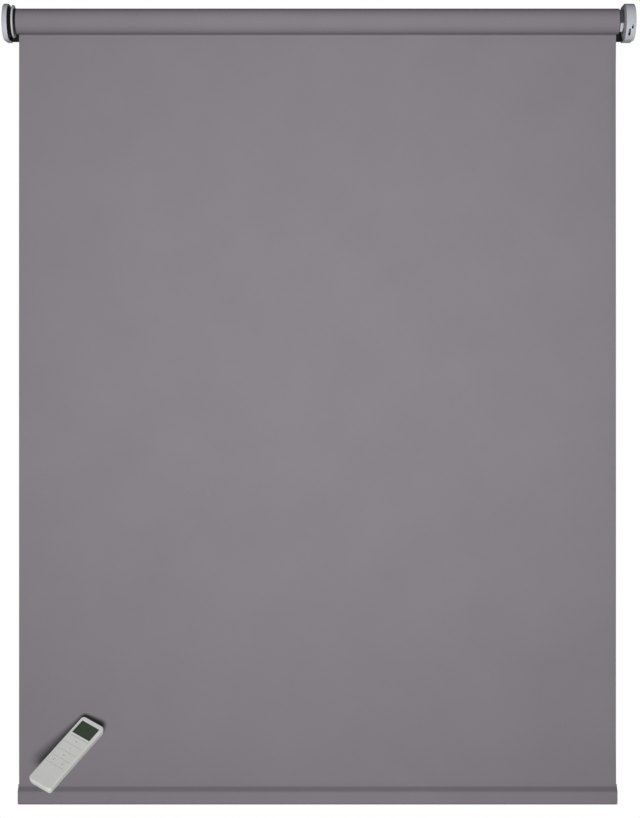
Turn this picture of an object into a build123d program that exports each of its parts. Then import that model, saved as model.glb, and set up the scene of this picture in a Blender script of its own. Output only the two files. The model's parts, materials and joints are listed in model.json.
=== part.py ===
from build123d import *

import os
from math import cos, radians, sin

# A motorized roller blind with its hand-held remote, in millimetres.
# X runs along the roller, Y points into the wall and Z points up. The origin is the centre of the four
# wall screw holes: mid-width, on the wall, level with the roller's axis.

# Cloth and roller
CLOTH_WIDTH = 1000.0
CLOTH_DROP = 1307.0
CLOTH_THICKNESS = 0.5
AXIS_TO_WALL = 38.0
TUBE_RADIUS = 20.0
TUBE_WALL = 1.2
ROLL_RADIUS = 21.3
GROOVE_WIDTH = 6.0
GROOVE_MOUTH = 3.5
GROOVE_FLOOR_RADIUS = 18.6
GROOVE_LIP_RADIUS = 19.4
RIB_RADIUS = 18.0
RIB_WIDTH = 9.0

# Clearances
ROLLING_GAP = 0.3
RUNNING_FIT = 0.05
SLIP_FIT = 0.08
SIDE_PLAY = 0.5

# Wall brackets and covers
BRACKET_THICKNESS = 2.5
BRACKET_ROUND = 28.0
FOOT_HALF_HEIGHT = 27.0
FOOT_CORNER = 5.0
FOOT_BEYOND_HOLE = 12.0
HOLE_BEHIND_CLOTH = 5.0
HOLE_RADIUS = 2.5
HOLE_SPACING = 34.0
COVER_DROP = 1.5
COVER_WALL = 2.2
COVER_CLEARANCE = 0.3
COVER_EDGE = 1.8
COVER_LIP = 2.0
COVER_TO_WALL = 0.5

# Idler end
COLLAR_LENGTH = 3.8
FLANGE_THICKNESS = 3.2
FLANGE_RADIUS = 27.0
FLANGE_EDGE = 1.2
PLUG_LENGTH = 45.0
HUB_LENGTH = 7.4
HUB_SMALL_RADIUS = 20.0
IDLER_COVER_DEPTH = 1.8
PIN_RADIUS = 4.0
PIN_SHOULDER_RADIUS = 6.0
PIN_SHOULDER_LENGTH = 4.0
PIN_TAIL_LENGTH = 12.0
PIN_REACH_IN_BRACKET = 1.2
SPRING_WIRE_RADIUS = 0.5
SPRING_RADIUS = 4.9
SPRING_LENGTH = 28.0
SPRING_TURNS = 8

# Motor end
NECK_LENGTH = 7.2
BEZEL_LENGTH = 2.5
BEZEL_SMALL_RADIUS = 23.0
MOTOR_RADIUS = 17.5
MOTOR_TUBE_WALL = 1.0
MOTOR_LENGTH = 405.0
HEAD_PLUG_LENGTH = 14.0
SPIGOT_SIZE = 12.0
SPIGOT_NECK = 10.0
SPIGOT_LENGTH = 4.6
CLIP_THICKNESS = 1.0
CLIP_SIZE = 20.0
RECEIVER_RADIUS = 26.4
RECEIVER_LENGTH = 11.0
RECEIVER_WALL = 1.5
BOARD_THICKNESS = 1.6
SOCKET_WIDTH = 9.0
SOCKET_HEIGHT = 3.2
SOCKET_DEPTH = 7.0
SOCKET_SHELL = 0.4
SOCKET_ANGLE = 44.0
BUTTON_ANGLE = 24.0
LAMP_ANGLE = 68.0
BUTTON_RADIUS = 1.3
BUTTON_TRAVEL = 0.5
SWITCH_SIZE = 2.8
LAMP_RADIUS = 1.2
CHARGE_SLOT_LENGTH = 14.0
CHARGE_SLOT_WIDTH = 3.6
BUTTON_SLOT_LENGTH = 7.0
BUTTON_SLOT_WIDTH = 3.0

# Inside the motor tube
END_CAP_FLANGE = 2.0
END_CAP_PLUG = 14.0
BEARING_RADIUS = 8.0
BEARING_WIDTH = 5.0
SHAFT_RADIUS = 4.0
SHAFT_FLAT = 3.0
GEARBOX_RADIUS = 16.3
GEARBOX_LENGTH = 46.0
DRIVE_RADIUS = 14.0
DRIVE_LENGTH = 52.0
DRIVE_SHAFT_RADIUS = 1.5
DRIVE_SHAFT_LENGTH = 8.0
CELL_RADIUS = 9.2
CELL_COUNT = 3
CELLS_TO_HEAD = 14.92
CELL_BUTTON_RADIUS = 3.0
CELL_BUTTON_HEIGHT = 1.0
DRIVER_BOARD_LENGTH = 68.0
DRIVER_BOARD_WIDTH = 26.0
DRIVE_WHEEL_LENGTH = 16.0
CROWN_LENGTH = 14.0
CROWN_FLANGE_LENGTH = 1.2
CROWN_FLANGE_RADIUS = 20.6

# Bottom bar and hem
HEM_HEIGHT = 34.0
HEM_HALF_DEPTH = 8.0
HEM_SEAM = 3.5
HEM_SHOULDER = 11.5
BAR_WALL = 1.5
BAR_CAP_THICKNESS = 1.2
BAR_CAP_PLUG = 16.0

# Screws
SCREW_RADIUS = 1.5
SCREW_HEAD_RADIUS = 2.8
SCREW_HEAD_HEIGHT = 1.5
SCREW_FIT = 0.03

# Screws in a ring about the axis
HUB_SCREW_ANGLES = [90.0, 210.0, 330.0]
HUB_SCREW_RADIUS = 13.0
RECEIVER_SCREW_ANGLES = [135.0, 315.0]
RECEIVER_SCREW_RADIUS = 19.0

# Remote: case
REMOTE_WIDTH = 45.0
REMOTE_LENGTH = 145.0
REMOTE_BACK_DEPTH = 6.8
REMOTE_FRONT_DEPTH = 7.5
REMOTE_SEAM = 0.25
REMOTE_CORNER = 6.0
REMOTE_WALL = 1.6
REMOTE_EDGE = 1.3
REMOTE_TAPER = 1.6
# Remote: face layout, measured from its top end
WINDOW_WIDTH = 35.7
WINDOW_TOP = 7.8
WINDOW_HEIGHT = 27.6
WINDOW_RECESS = 0.8
WINDOW_THICKNESS = 1.0
SCREEN_THICKNESS = 1.6
KEYS_TOP = 40.0
KEY_PITCH = 15.5
KEY_ROWS = 4
KEY_SLIT = 0.75
KEY_SIDE_GAP = 0.15
KEY_DIVIDER = 0.3
KEY_THICKNESS = 2.0
KEY_TRAVEL = 0.6
KEY_EDGE = 0.25
# Remote: inside
REMOTE_BOARD_Z = 8.4
MAT_THICKNESS = 0.8
MAT_DOME_RADIUS = 3.5
COIN_RADIUS = 12.25
COIN_THICKNESS = 5.0
COIN_FROM_TOP = 108.0
CLIP_WALL = 0.3
BATTERY_COVER_WIDTH = 29.0
BATTERY_COVER_LENGTH = 52.0
BATTERY_COVER_FIT = 0.15
REMOTE_SCREW_FROM_TOP = 5.0
REMOTE_SCREW_SPAN = 30.0
REMOTE_SCREW_RADIUS = 1.0
REMOTE_SCREW_HEAD_RADIUS = 1.8
REMOTE_SCREW_HEAD_HEIGHT = 1.0
REMOTE_BOSS_RADIUS = 2.6
# Remote: place in front of the blind's lower left, turned and tilted as it is held out
REMOTE_FROM_LEFT = 89.0
REMOTE_ABOVE_FOOT = 90.0
REMOTE_SPIN = 33.0
REMOTE_TILT = 45.0
REMOTE_CLEARANCE = 1.0

# Places along the roller that follow from the sizes above
TUBE_END = CLOTH_WIDTH / 2
TUBE_INNER_RADIUS = TUBE_RADIUS - TUBE_WALL
PLUG_RADIUS = TUBE_INNER_RADIUS - SLIP_FIT
HOLE_X = TUBE_END - HOLE_BEHIND_CLOTH
FOOT_INNER_X = HOLE_X - FOOT_BEYOND_HOLE
COLLAR_X = TUBE_END + COLLAR_LENGTH
FLANGE_X = COLLAR_X + FLANGE_THICKNESS
HUB_X = FLANGE_X + SIDE_PLAY
IDLER_PLATE_X = HUB_X + HUB_LENGTH
IDLER_PLATE_OUTER_X = IDLER_PLATE_X + BRACKET_THICKNESS
IDLER_COVER_INSIDE_X = IDLER_PLATE_OUTER_X + IDLER_COVER_DEPTH
BEZEL_X = TUBE_END + NECK_LENGTH
MOTOR_PLATE_X = BEZEL_X + BEZEL_LENGTH
MOTOR_PLATE_OUTER_X = MOTOR_PLATE_X + BRACKET_THICKNESS
RECEIVER_X = MOTOR_PLATE_OUTER_X + SLIP_FIT
RECEIVER_OUTER_X = RECEIVER_X + RECEIVER_LENGTH
MOTOR_COVER_INSIDE_X = RECEIVER_OUTER_X + COVER_CLEARANCE
MOTOR_TUBE_OUTER_X = TUBE_END + NECK_LENGTH / 2
MOTOR_TUBE_INNER_X = MOTOR_TUBE_OUTER_X - MOTOR_LENGTH
MOTOR_INNER_RADIUS = MOTOR_RADIUS - MOTOR_TUBE_WALL
END_CAP_INSIDE_X = MOTOR_TUBE_INNER_X + END_CAP_PLUG
GEARBOX_X = END_CAP_INSIDE_X + SLIP_FIT
DRIVE_X = GEARBOX_X + GEARBOX_LENGTH
TRAY_X = DRIVE_X + DRIVE_LENGTH + SIDE_PLAY
CELLS_X = TRAY_X + DRIVER_BOARD_LENGTH + SIDE_PLAY
CELLS_END_X = MOTOR_TUBE_OUTER_X - HEAD_PLUG_LENGTH - CELLS_TO_HEAD
CELL_LENGTH = (CELLS_END_X - CELLS_X) / CELL_COUNT
DRIVE_WHEEL_OUTER_X = MOTOR_TUBE_INNER_X - END_CAP_FLANGE - SIDE_PLAY
DRIVE_WHEEL_X = DRIVE_WHEEL_OUTER_X - DRIVE_WHEEL_LENGTH
RECEIVER_BOARD_X = RECEIVER_X + SOCKET_HEIGHT + RECEIVER_WALL
SWITCH_X = RECEIVER_BOARD_X + BOARD_THICKNESS + SWITCH_SIZE / 2
SOCKET_X = RECEIVER_BOARD_X - SOCKET_HEIGHT / 2
COVER_ROUND = BRACKET_ROUND + COVER_CLEARANCE + COVER_WALL
# Heights and depths
HEM_TOP_Z = -CLOTH_DROP + HEM_HEIGHT
CLOTH_FRONT_Y = -AXIS_TO_WALL + ROLL_RADIUS + ROLLING_GAP
HEM_CENTRE_Y = CLOTH_FRONT_Y + CLOTH_THICKNESS / 2
# Remote: its place and its depths from its back
REMOTE_CENTRE_X = -TUBE_END + REMOTE_FROM_LEFT
REMOTE_CENTRE_Z = -CLOTH_DROP + REMOTE_ABOVE_FOOT
REMOTE_FACE = REMOTE_BACK_DEPTH + REMOTE_SEAM + REMOTE_FRONT_DEPTH
REMOTE_INNER_FACE = REMOTE_FACE - REMOTE_WALL
KEY_UNDERSIDE = REMOTE_FACE - KEY_THICKNESS


def roller_plane(x):
    """A plane across the roller's axis at x, whose own x points to the wall and whose own y points up."""
    return Plane(origin=(x, -AXIS_TO_WALL, 0), x_dir=(0, 1, 0), z_dir=(1, 0, 0))


def round_bar(x_from, x_to, radius, bore=0.0):
    """A cylinder about the roller's axis between two places, with an optional bore."""
    section = Circle(radius)
    if bore:
        section -= Circle(bore)
    return extrude(roller_plane(x_from) * section, amount=x_to - x_from)


def cone(x_from, x_to, radius_from, radius_to, drop_to):
    """A cone about the roller's axis whose far end may sit a little lower."""
    near = roller_plane(x_from) * Circle(radius_from)
    far = roller_plane(x_to) * Pos(0, -drop_to) * Circle(radius_to)
    return loft([near, far])


def polar(radius, degrees):
    """A point across the roller, where 0 degrees points to the room and the angle turns downwards."""
    return Pos(-radius * cos(radians(degrees)), -radius * sin(radians(degrees)))


def bracket_outline(grow):
    """The rounded plate that stands out from the wall, grown all round by a margin."""
    nose = Pos(0, -COVER_DROP) * Circle(BRACKET_ROUND + grow)
    corner_y = AXIS_TO_WALL - FOOT_CORNER
    corner_z = FOOT_HALF_HEIGHT - FOOT_CORNER
    top = Pos(corner_y, corner_z) * Circle(FOOT_CORNER + grow)
    bottom = Pos(corner_y, -corner_z) * Circle(FOOT_CORNER + grow)
    outline = make_hull(nose.edges() + top.edges() + bottom.edges())
    room_side = Pos(-BRACKET_ROUND, 0) * Rectangle(2 * (AXIS_TO_WALL + BRACKET_ROUND), 4 * BRACKET_ROUND)
    return outline & room_side


def screw(length, radius=SCREW_RADIUS, head_radius=SCREW_HEAD_RADIUS, head_height=SCREW_HEAD_HEIGHT):
    """A pan-head screw whose shank runs up its own z from the origin, with the head below."""
    shank = extrude(Circle(radius), amount=length)
    head = extrude(Circle(head_radius), amount=-head_height)
    slot = extrude(Pos(0, 0, -head_height) * Rectangle(2 * radius, radius / 2), amount=head_height / 2)
    return shank + head - slot


def screw_hole(length, radius=SCREW_RADIUS):
    """The hole for a screw's shank, running up its own z from the origin."""
    return extrude(Circle(radius + SCREW_FIT), amount=length)


def turned_screws(x, degrees_list, radius, maker):
    """Screws or holes at several angles about the axis, pointing along the roller."""
    plane = roller_plane(x)
    return [plane * polar(radius, degrees) * maker for degrees in degrees_list]


def wall_foot(side):
    """The flat foot on the wall with its two screw holes, reaching inwards from the side plate."""
    plate_x = IDLER_PLATE_X if side < 0 else MOTOR_PLATE_X
    length = plate_x - FOOT_INNER_X
    middle = side * (plate_x + FOOT_INNER_X) / 2
    wall = Plane(origin=(middle, 0, 0), x_dir=(1, 0, 0), z_dir=(0, -1, 0))
    face = Rectangle(length, 2 * FOOT_HALF_HEIGHT)
    inner_corners = face.vertices().group_by(Axis.X)[0 if side > 0 else -1]
    face = fillet(inner_corners, FOOT_CORNER)
    for z in (-HOLE_SPACING / 2, HOLE_SPACING / 2):
        face -= Pos(side * HOLE_X - middle, z) * Circle(HOLE_RADIUS)
    return extrude(wall * face, amount=BRACKET_THICKNESS)


def idler_bracket():
    plate = extrude(roller_plane(-IDLER_PLATE_OUTER_X) * bracket_outline(0), amount=BRACKET_THICKNESS)
    plate -= round_bar(-IDLER_PLATE_OUTER_X, -IDLER_PLATE_X, PIN_RADIUS + SIDE_PLAY)
    through = screw_hole(BRACKET_THICKNESS)
    for hole in turned_screws(-IDLER_PLATE_OUTER_X, HUB_SCREW_ANGLES, HUB_SCREW_RADIUS, through):
        plate -= hole
    return plate + wall_foot(-1)


def idler_hub():
    hub = cone(-HUB_X, -IDLER_PLATE_X, HUB_SMALL_RADIUS, BRACKET_ROUND - COVER_CLEARANCE, COVER_DROP)
    hub -= round_bar(-IDLER_PLATE_X, -HUB_X, PIN_RADIUS + RUNNING_FIT)
    hub -= round_bar(-HUB_X - FLANGE_EDGE, -HUB_X, HUB_SMALL_RADIUS / 2, PIN_RADIUS + 2 * FLANGE_EDGE)
    for hole in turned_screws(-IDLER_PLATE_X, HUB_SCREW_ANGLES, HUB_SCREW_RADIUS, screw_hole(HUB_LENGTH / 2)):
        hub -= hole
    return hub


def idler_hub_screws():
    length = BRACKET_THICKNESS + HUB_LENGTH / 2 - SIDE_PLAY
    return turned_screws(-IDLER_PLATE_OUTER_X, HUB_SCREW_ANGLES, HUB_SCREW_RADIUS, screw(length))


def cover_shell(x_rim, x_inside, x_outside):
    """A cap over a bracket: open towards the roller and along the wall, closed at its outer end."""
    step = 1 if x_outside > x_rim else -1
    outline = bracket_outline(COVER_CLEARANCE + COVER_WALL)
    outer = extrude(roller_plane(x_rim) * outline, amount=x_outside - x_rim)
    end_edges = outer.faces().sort_by(Axis.X)[-1 if step > 0 else 0].edges()
    outer = fillet(end_edges, COVER_EDGE)
    inner = extrude(roller_plane(x_rim) * bracket_outline(COVER_CLEARANCE), amount=x_inside - x_rim)
    margin = 4 * BRACKET_ROUND
    wall_depth = BRACKET_THICKNESS + COVER_TO_WALL
    wall_strip = Pos((x_rim + x_outside) / 2, -wall_depth / 2, 0) * Box(margin, wall_depth, margin)
    return outer - inner - wall_strip


def idler_cover():
    rim = -IDLER_PLATE_X + COVER_LIP
    return cover_shell(rim, -IDLER_COVER_INSIDE_X, -IDLER_COVER_INSIDE_X - COVER_WALL)


def idler_plug():
    plug = round_bar(-TUBE_END, -TUBE_END + PLUG_LENGTH, PLUG_RADIUS)
    plug += round_bar(-COLLAR_X, -TUBE_END, ROLL_RADIUS)
    plug -= rib_notch(-TUBE_END, -TUBE_END + PLUG_LENGTH)
    bore_length = PIN_SHOULDER_LENGTH + SPRING_LENGTH + 2 * SIDE_PLAY
    plug -= round_bar(-COLLAR_X, -COLLAR_X + bore_length, PIN_SHOULDER_RADIUS + RUNNING_FIT)
    plug -= round_bar(-COLLAR_X, -TUBE_END + PLUG_LENGTH, PIN_RADIUS + RUNNING_FIT)
    for hole in turned_screws(-COLLAR_X, HUB_SCREW_ANGLES, HUB_SCREW_RADIUS, screw_hole(2 * COLLAR_LENGTH)):
        plug -= hole
    return plug


def rib_notch(x_from, x_to):
    """The slot that lets a part slide along the rib inside the roller tube."""
    low = RIB_RADIUS - RUNNING_FIT - SLIP_FIT
    height = TUBE_RADIUS - low
    slot = Pos(0, low + height / 2) * Rectangle(RIB_WIDTH + 4 * SLIP_FIT, height)
    return extrude(roller_plane(x_from) * slot, amount=x_to - x_from)


def idler_flange():
    ring = round_bar(-FLANGE_X, -COLLAR_X, FLANGE_RADIUS, PIN_RADIUS + RUNNING_FIT)
    rim = ring.edges().filter_by(GeomType.CIRCLE).group_by(SortBy.RADIUS)[-1]
    ring = fillet(rim, FLANGE_EDGE)
    seat = extrude(Circle(SCREW_HEAD_RADIUS + SCREW_FIT), amount=SCREW_HEAD_HEIGHT)
    seat += screw_hole(FLANGE_THICKNESS)
    for cut in turned_screws(-FLANGE_X, HUB_SCREW_ANGLES, HUB_SCREW_RADIUS, seat):
        ring -= cut
    return ring


def idler_flange_screws():
    length = COLLAR_LENGTH + FLANGE_THICKNESS - SCREW_HEAD_HEIGHT
    return turned_screws(-FLANGE_X + SCREW_HEAD_HEIGHT, HUB_SCREW_ANGLES, HUB_SCREW_RADIUS, screw(length))


def idler_pin():
    tip_x = -IDLER_PLATE_X - PIN_REACH_IN_BRACKET
    shoulder_x = -COLLAR_X + ROLLING_GAP
    shoulder_end_x = shoulder_x + PIN_SHOULDER_LENGTH
    pin = round_bar(tip_x, shoulder_end_x + PIN_TAIL_LENGTH, PIN_RADIUS)
    pin = chamfer(pin.faces().sort_by(Axis.X)[0].edges(), PIN_RADIUS / 4)
    return pin + round_bar(shoulder_x, shoulder_end_x, PIN_SHOULDER_RADIUS)


def idler_spring():
    start_x = -COLLAR_X + ROLLING_GAP + PIN_SHOULDER_LENGTH + SPRING_WIRE_RADIUS + RUNNING_FIT
    rise = SPRING_LENGTH - 2 * SPRING_WIRE_RADIUS
    coil = Helix(pitch=rise / SPRING_TURNS, height=rise, radius=SPRING_RADIUS)
    end_plane = Plane(origin=coil @ 0, z_dir=coil % 0)
    wire = sweep(end_plane * Circle(SPRING_WIRE_RADIUS), path=coil)
    return roller_plane(start_x) * wire


def motor_bracket():
    plate = extrude(roller_plane(MOTOR_PLATE_X) * bracket_outline(0), amount=BRACKET_THICKNESS)
    seat_size = SPIGOT_SIZE + 2 * RUNNING_FIT
    seat = roller_plane(MOTOR_PLATE_X) * Rectangle(seat_size, seat_size)
    plate -= extrude(seat, amount=BRACKET_THICKNESS)
    through = screw_hole(BRACKET_THICKNESS)
    for hole in turned_screws(MOTOR_PLATE_X, RECEIVER_SCREW_ANGLES, RECEIVER_SCREW_RADIUS, through):
        plate -= hole
    return plate + wall_foot(1)


def motor_bezel():
    bezel = cone(BEZEL_X, MOTOR_PLATE_X, BEZEL_SMALL_RADIUS, COVER_ROUND, COVER_DROP)
    bezel -= round_bar(BEZEL_X, MOTOR_PLATE_X, MOTOR_RADIUS + ROLLING_GAP)
    margin = 4 * BRACKET_ROUND
    depth = BRACKET_THICKNESS + COVER_TO_WALL
    return bezel - Pos(MOTOR_PLATE_X, -depth / 2, 0) * Box(margin, depth, margin)


def slot_through_cover(x, degrees, length, width):
    """A radial slot in the cover's wall, long around it and narrow along the roller."""
    depth = 4 * COVER_WALL
    slot = Box(depth, length, width)
    direction = Plane(origin=(x, -AXIS_TO_WALL, -COVER_DROP), x_dir=radial(degrees), z_dir=(1, 0, 0))
    return direction * Pos(COVER_ROUND - COVER_WALL / 2, 0, 0) * slot


def radial(degrees):
    """The direction out from the roller's axis, where 0 degrees points to the room and turns downwards."""
    return (0, -cos(radians(degrees)), -sin(radians(degrees)))


def motor_cover():
    cover = cover_shell(MOTOR_PLATE_X, MOTOR_COVER_INSIDE_X, MOTOR_COVER_INSIDE_X + COVER_WALL)
    cover -= slot_through_cover(SOCKET_X, SOCKET_ANGLE, CHARGE_SLOT_LENGTH, CHARGE_SLOT_WIDTH)
    cover -= slot_through_cover(SWITCH_X, BUTTON_ANGLE, BUTTON_SLOT_LENGTH, BUTTON_SLOT_WIDTH)
    return cover


def motor_head():
    head = round_bar(MOTOR_TUBE_OUTER_X, MOTOR_PLATE_X - SLIP_FIT, MOTOR_RADIUS)
    plug_x = MOTOR_TUBE_OUTER_X - HEAD_PLUG_LENGTH
    head += round_bar(plug_x, MOTOR_TUBE_OUTER_X, MOTOR_INNER_RADIUS - RUNNING_FIT)
    spigot_x = MOTOR_PLATE_X - SLIP_FIT
    spigot = roller_plane(spigot_x) * Rectangle(SPIGOT_SIZE, SPIGOT_SIZE)
    head += extrude(spigot, amount=BRACKET_THICKNESS + SPIGOT_LENGTH)
    groove_x = MOTOR_PLATE_OUTER_X + SLIP_FIT
    ring = Rectangle(2 * SPIGOT_SIZE, 2 * SPIGOT_SIZE) - Rectangle(SPIGOT_NECK, SPIGOT_SIZE)
    return head - extrude(roller_plane(groove_x) * ring, amount=CLIP_THICKNESS + 2 * SLIP_FIT)


def head_clip():
    """A flat fork pushed up into the spigot's grooves, which stops the head from leaving the plate."""
    plate = Rectangle(CLIP_SIZE, CLIP_SIZE)
    mouth_height = (CLIP_SIZE + SPIGOT_SIZE) / 2 + SLIP_FIT
    mouth_top = SPIGOT_SIZE / 2 + SLIP_FIT
    mouth = Rectangle(SPIGOT_NECK + 2 * SLIP_FIT, mouth_height)
    mouth = Pos(0, mouth_top - mouth_height / 2) * mouth
    plane = roller_plane(MOTOR_PLATE_OUTER_X + 2 * SLIP_FIT)
    return extrude(plane * (plate - mouth), amount=CLIP_THICKNESS)


def receiver_housing():
    housing = round_bar(RECEIVER_X, RECEIVER_OUTER_X, RECEIVER_RADIUS)
    housing -= round_bar(RECEIVER_X, RECEIVER_OUTER_X - RECEIVER_WALL, RECEIVER_RADIUS - RECEIVER_WALL)
    post_x = RECEIVER_BOARD_X + BOARD_THICKNESS
    post = extrude(Circle(SCREW_HEAD_RADIUS + RECEIVER_WALL / 2), amount=RECEIVER_OUTER_X - post_x)
    for boss in turned_screws(post_x, RECEIVER_SCREW_ANGLES, RECEIVER_SCREW_RADIUS, post):
        housing += boss
    through = screw_hole(RECEIVER_LENGTH)
    for hole in turned_screws(RECEIVER_X, RECEIVER_SCREW_ANGLES, RECEIVER_SCREW_RADIUS, through):
        housing -= hole
    recess_x = RECEIVER_OUTER_X - SCREW_HEAD_HEIGHT
    recess = extrude(Circle(SCREW_HEAD_RADIUS + SCREW_FIT), amount=SCREW_HEAD_HEIGHT)
    for cut in turned_screws(recess_x, RECEIVER_SCREW_ANGLES, RECEIVER_SCREW_RADIUS, recess):
        housing -= cut
    housing -= radial_box(SOCKET_X, SOCKET_ANGLE, SOCKET_WIDTH + 2 * SLIP_FIT, SOCKET_HEIGHT + 2 * SLIP_FIT)
    return housing - radial_rod(SWITCH_X, BUTTON_ANGLE, BUTTON_RADIUS + RUNNING_FIT, 0, RECEIVER_RADIUS)


def radial_plane(x, degrees, radius):
    """A plane facing out from the roller's axis at a place along it, an angle and a radius."""
    direction = radial(degrees)
    origin = (x, -AXIS_TO_WALL + radius * direction[1], radius * direction[2])
    return Plane(origin=origin, x_dir=(1, 0, 0), z_dir=direction)


def radial_rod(x, degrees, rod_radius, radius_from, radius_to):
    return extrude(radial_plane(x, degrees, radius_from) * Circle(rod_radius), amount=radius_to - radius_from)


def radial_box(x, degrees, width, height):
    """A box through the receiver's rim: height runs along the roller and width around it."""
    length = 4 * RECEIVER_WALL
    plane = radial_plane(x, degrees, RECEIVER_RADIUS - length / 2)
    return extrude(plane * Rectangle(height, width), amount=length)


def receiver_board():
    inner = (CLIP_SIZE + SPIGOT_SIZE) / 2
    outer = RECEIVER_RADIUS - RECEIVER_WALL - SLIP_FIT
    board = round_bar(RECEIVER_BOARD_X, RECEIVER_BOARD_X + BOARD_THICKNESS, outer, inner)
    through = screw_hole(BOARD_THICKNESS)
    for hole in turned_screws(RECEIVER_BOARD_X, RECEIVER_SCREW_ANGLES, RECEIVER_SCREW_RADIUS, through):
        board -= hole
    return board


def charging_socket():
    outer_radius = RECEIVER_RADIUS - RUNNING_FIT
    plane = radial_plane(SOCKET_X, SOCKET_ANGLE, outer_radius - SOCKET_DEPTH)
    body = RectangleRounded(SOCKET_HEIGHT, SOCKET_WIDTH, SOCKET_HEIGHT / 2 - RUNNING_FIT)
    mouth_corner = SOCKET_HEIGHT / 2 - SOCKET_SHELL - RUNNING_FIT
    mouth = RectangleRounded(
        SOCKET_HEIGHT - 2 * SOCKET_SHELL, SOCKET_WIDTH - 2 * SOCKET_SHELL, mouth_corner
    )
    tongue = Rectangle(SOCKET_HEIGHT / 4, SOCKET_WIDTH - 4 * SOCKET_SHELL - SOCKET_HEIGHT / 2)
    socket = extrude(plane * body, amount=SOCKET_DEPTH)
    hollow = extrude(plane * Pos(0, 0, SOCKET_SHELL) * (mouth - tongue), amount=SOCKET_DEPTH)
    front = extrude(plane * Pos(0, 0, SOCKET_DEPTH - SOCKET_SHELL) * mouth, amount=SOCKET_SHELL)
    return socket - hollow - front


BUTTON_INNER_RADIUS = RECEIVER_RADIUS - RECEIVER_WALL - BUTTON_TRAVEL - ROLLING_GAP


def program_switch():
    top = BUTTON_INNER_RADIUS - BUTTON_TRAVEL - RUNNING_FIT
    plane = radial_plane(SWITCH_X, BUTTON_ANGLE, top - SWITCH_SIZE)
    return extrude(plane * Rectangle(SWITCH_SIZE, SWITCH_SIZE), amount=SWITCH_SIZE)


def program_button():
    outer_end = RECEIVER_RADIUS + BUTTON_TRAVEL
    return radial_rod(SWITCH_X, BUTTON_ANGLE, BUTTON_RADIUS, BUTTON_INNER_RADIUS, outer_end)


def status_lamp():
    top = RECEIVER_RADIUS - RECEIVER_WALL - ROLLING_GAP
    return radial_rod(SWITCH_X, LAMP_ANGLE, LAMP_RADIUS, top - 2 * LAMP_RADIUS, top) + extrude(
        radial_plane(SWITCH_X, LAMP_ANGLE, top - 3 * LAMP_RADIUS) * Rectangle(SWITCH_SIZE, SWITCH_SIZE),
        amount=LAMP_RADIUS,
    )


def receiver_screws():
    head_plane_x = RECEIVER_OUTER_X - SCREW_HEAD_HEIGHT
    length = head_plane_x - MOTOR_PLATE_X
    facing_in = Rot(0, 180, 0) * screw(length)
    return turned_screws(head_plane_x, RECEIVER_SCREW_ANGLES, RECEIVER_SCREW_RADIUS, facing_in)


def motor_tube():
    return round_bar(MOTOR_TUBE_INNER_X, MOTOR_TUBE_OUTER_X, MOTOR_RADIUS, MOTOR_INNER_RADIUS)


def battery_tray():
    """A half-round cradle that carries the cells and, at its inner end, the driver board."""
    end_x = CELLS_END_X + CELL_BUTTON_HEIGHT + SIDE_PLAY
    tray = round_bar(TRAY_X, end_x, GEARBOX_RADIUS)
    margin = 4 * GEARBOX_RADIUS
    upper_half = Box(2 * (end_x - TRAY_X), margin, margin)
    upper_half = Pos((TRAY_X + end_x) / 2, -AXIS_TO_WALL, margin / 2) * upper_half
    return tray - upper_half - round_bar(CELLS_X - SIDE_PLAY, end_x, CELL_RADIUS + SLIP_FIT)


def battery_cells():
    cells = []
    for index in range(CELL_COUNT):
        start = CELLS_X + index * CELL_LENGTH
        can_length = CELL_LENGTH - CELL_BUTTON_HEIGHT
        cells.append(
            round_bar(start, start + can_length, CELL_RADIUS)
            + round_bar(start + can_length, start + CELL_LENGTH, CELL_BUTTON_RADIUS)
        )
    return cells


def driver_board():
    middle = TRAY_X + DRIVER_BOARD_LENGTH / 2
    board = Pos(middle, -AXIS_TO_WALL, BOARD_THICKNESS / 2) * Box(
        DRIVER_BOARD_LENGTH - SIDE_PLAY, DRIVER_BOARD_WIDTH, BOARD_THICKNESS
    )
    chip = DRIVER_BOARD_WIDTH / 4
    for offset in (-2 * chip, 2 * chip):
        place = Pos(middle + offset, -AXIS_TO_WALL, BOARD_THICKNESS * 1.5)
        board += place * Box(chip, chip, BOARD_THICKNESS)
    return board


def electric_motor():
    can = round_bar(DRIVE_X + SLIP_FIT, DRIVE_X + DRIVE_LENGTH, DRIVE_RADIUS)
    return can + round_bar(DRIVE_X - DRIVE_SHAFT_LENGTH, DRIVE_X + SLIP_FIT, DRIVE_SHAFT_RADIUS)


def gearbox():
    case = round_bar(GEARBOX_X, DRIVE_X, GEARBOX_RADIUS)
    case -= round_bar(GEARBOX_X, GEARBOX_X + 2 * SHAFT_RADIUS + SIDE_PLAY, SHAFT_RADIUS + RUNNING_FIT)
    bore_x = DRIVE_X - DRIVE_SHAFT_LENGTH - SIDE_PLAY
    return case - round_bar(bore_x, DRIVE_X, DRIVE_SHAFT_RADIUS + RUNNING_FIT)


def end_cap():
    flange_x = MOTOR_TUBE_INNER_X - END_CAP_FLANGE
    cap = round_bar(flange_x, MOTOR_TUBE_INNER_X, MOTOR_RADIUS)
    cap += round_bar(MOTOR_TUBE_INNER_X, END_CAP_INSIDE_X, MOTOR_INNER_RADIUS - RUNNING_FIT)
    cap -= round_bar(flange_x, END_CAP_INSIDE_X, SHAFT_RADIUS + SIDE_PLAY)
    return cap - round_bar(flange_x, flange_x + BEARING_WIDTH, BEARING_RADIUS + RUNNING_FIT)


def output_bearing():
    flange_x = MOTOR_TUBE_INNER_X - END_CAP_FLANGE
    return round_bar(flange_x, flange_x + BEARING_WIDTH, BEARING_RADIUS, SHAFT_RADIUS + RUNNING_FIT)


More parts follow.
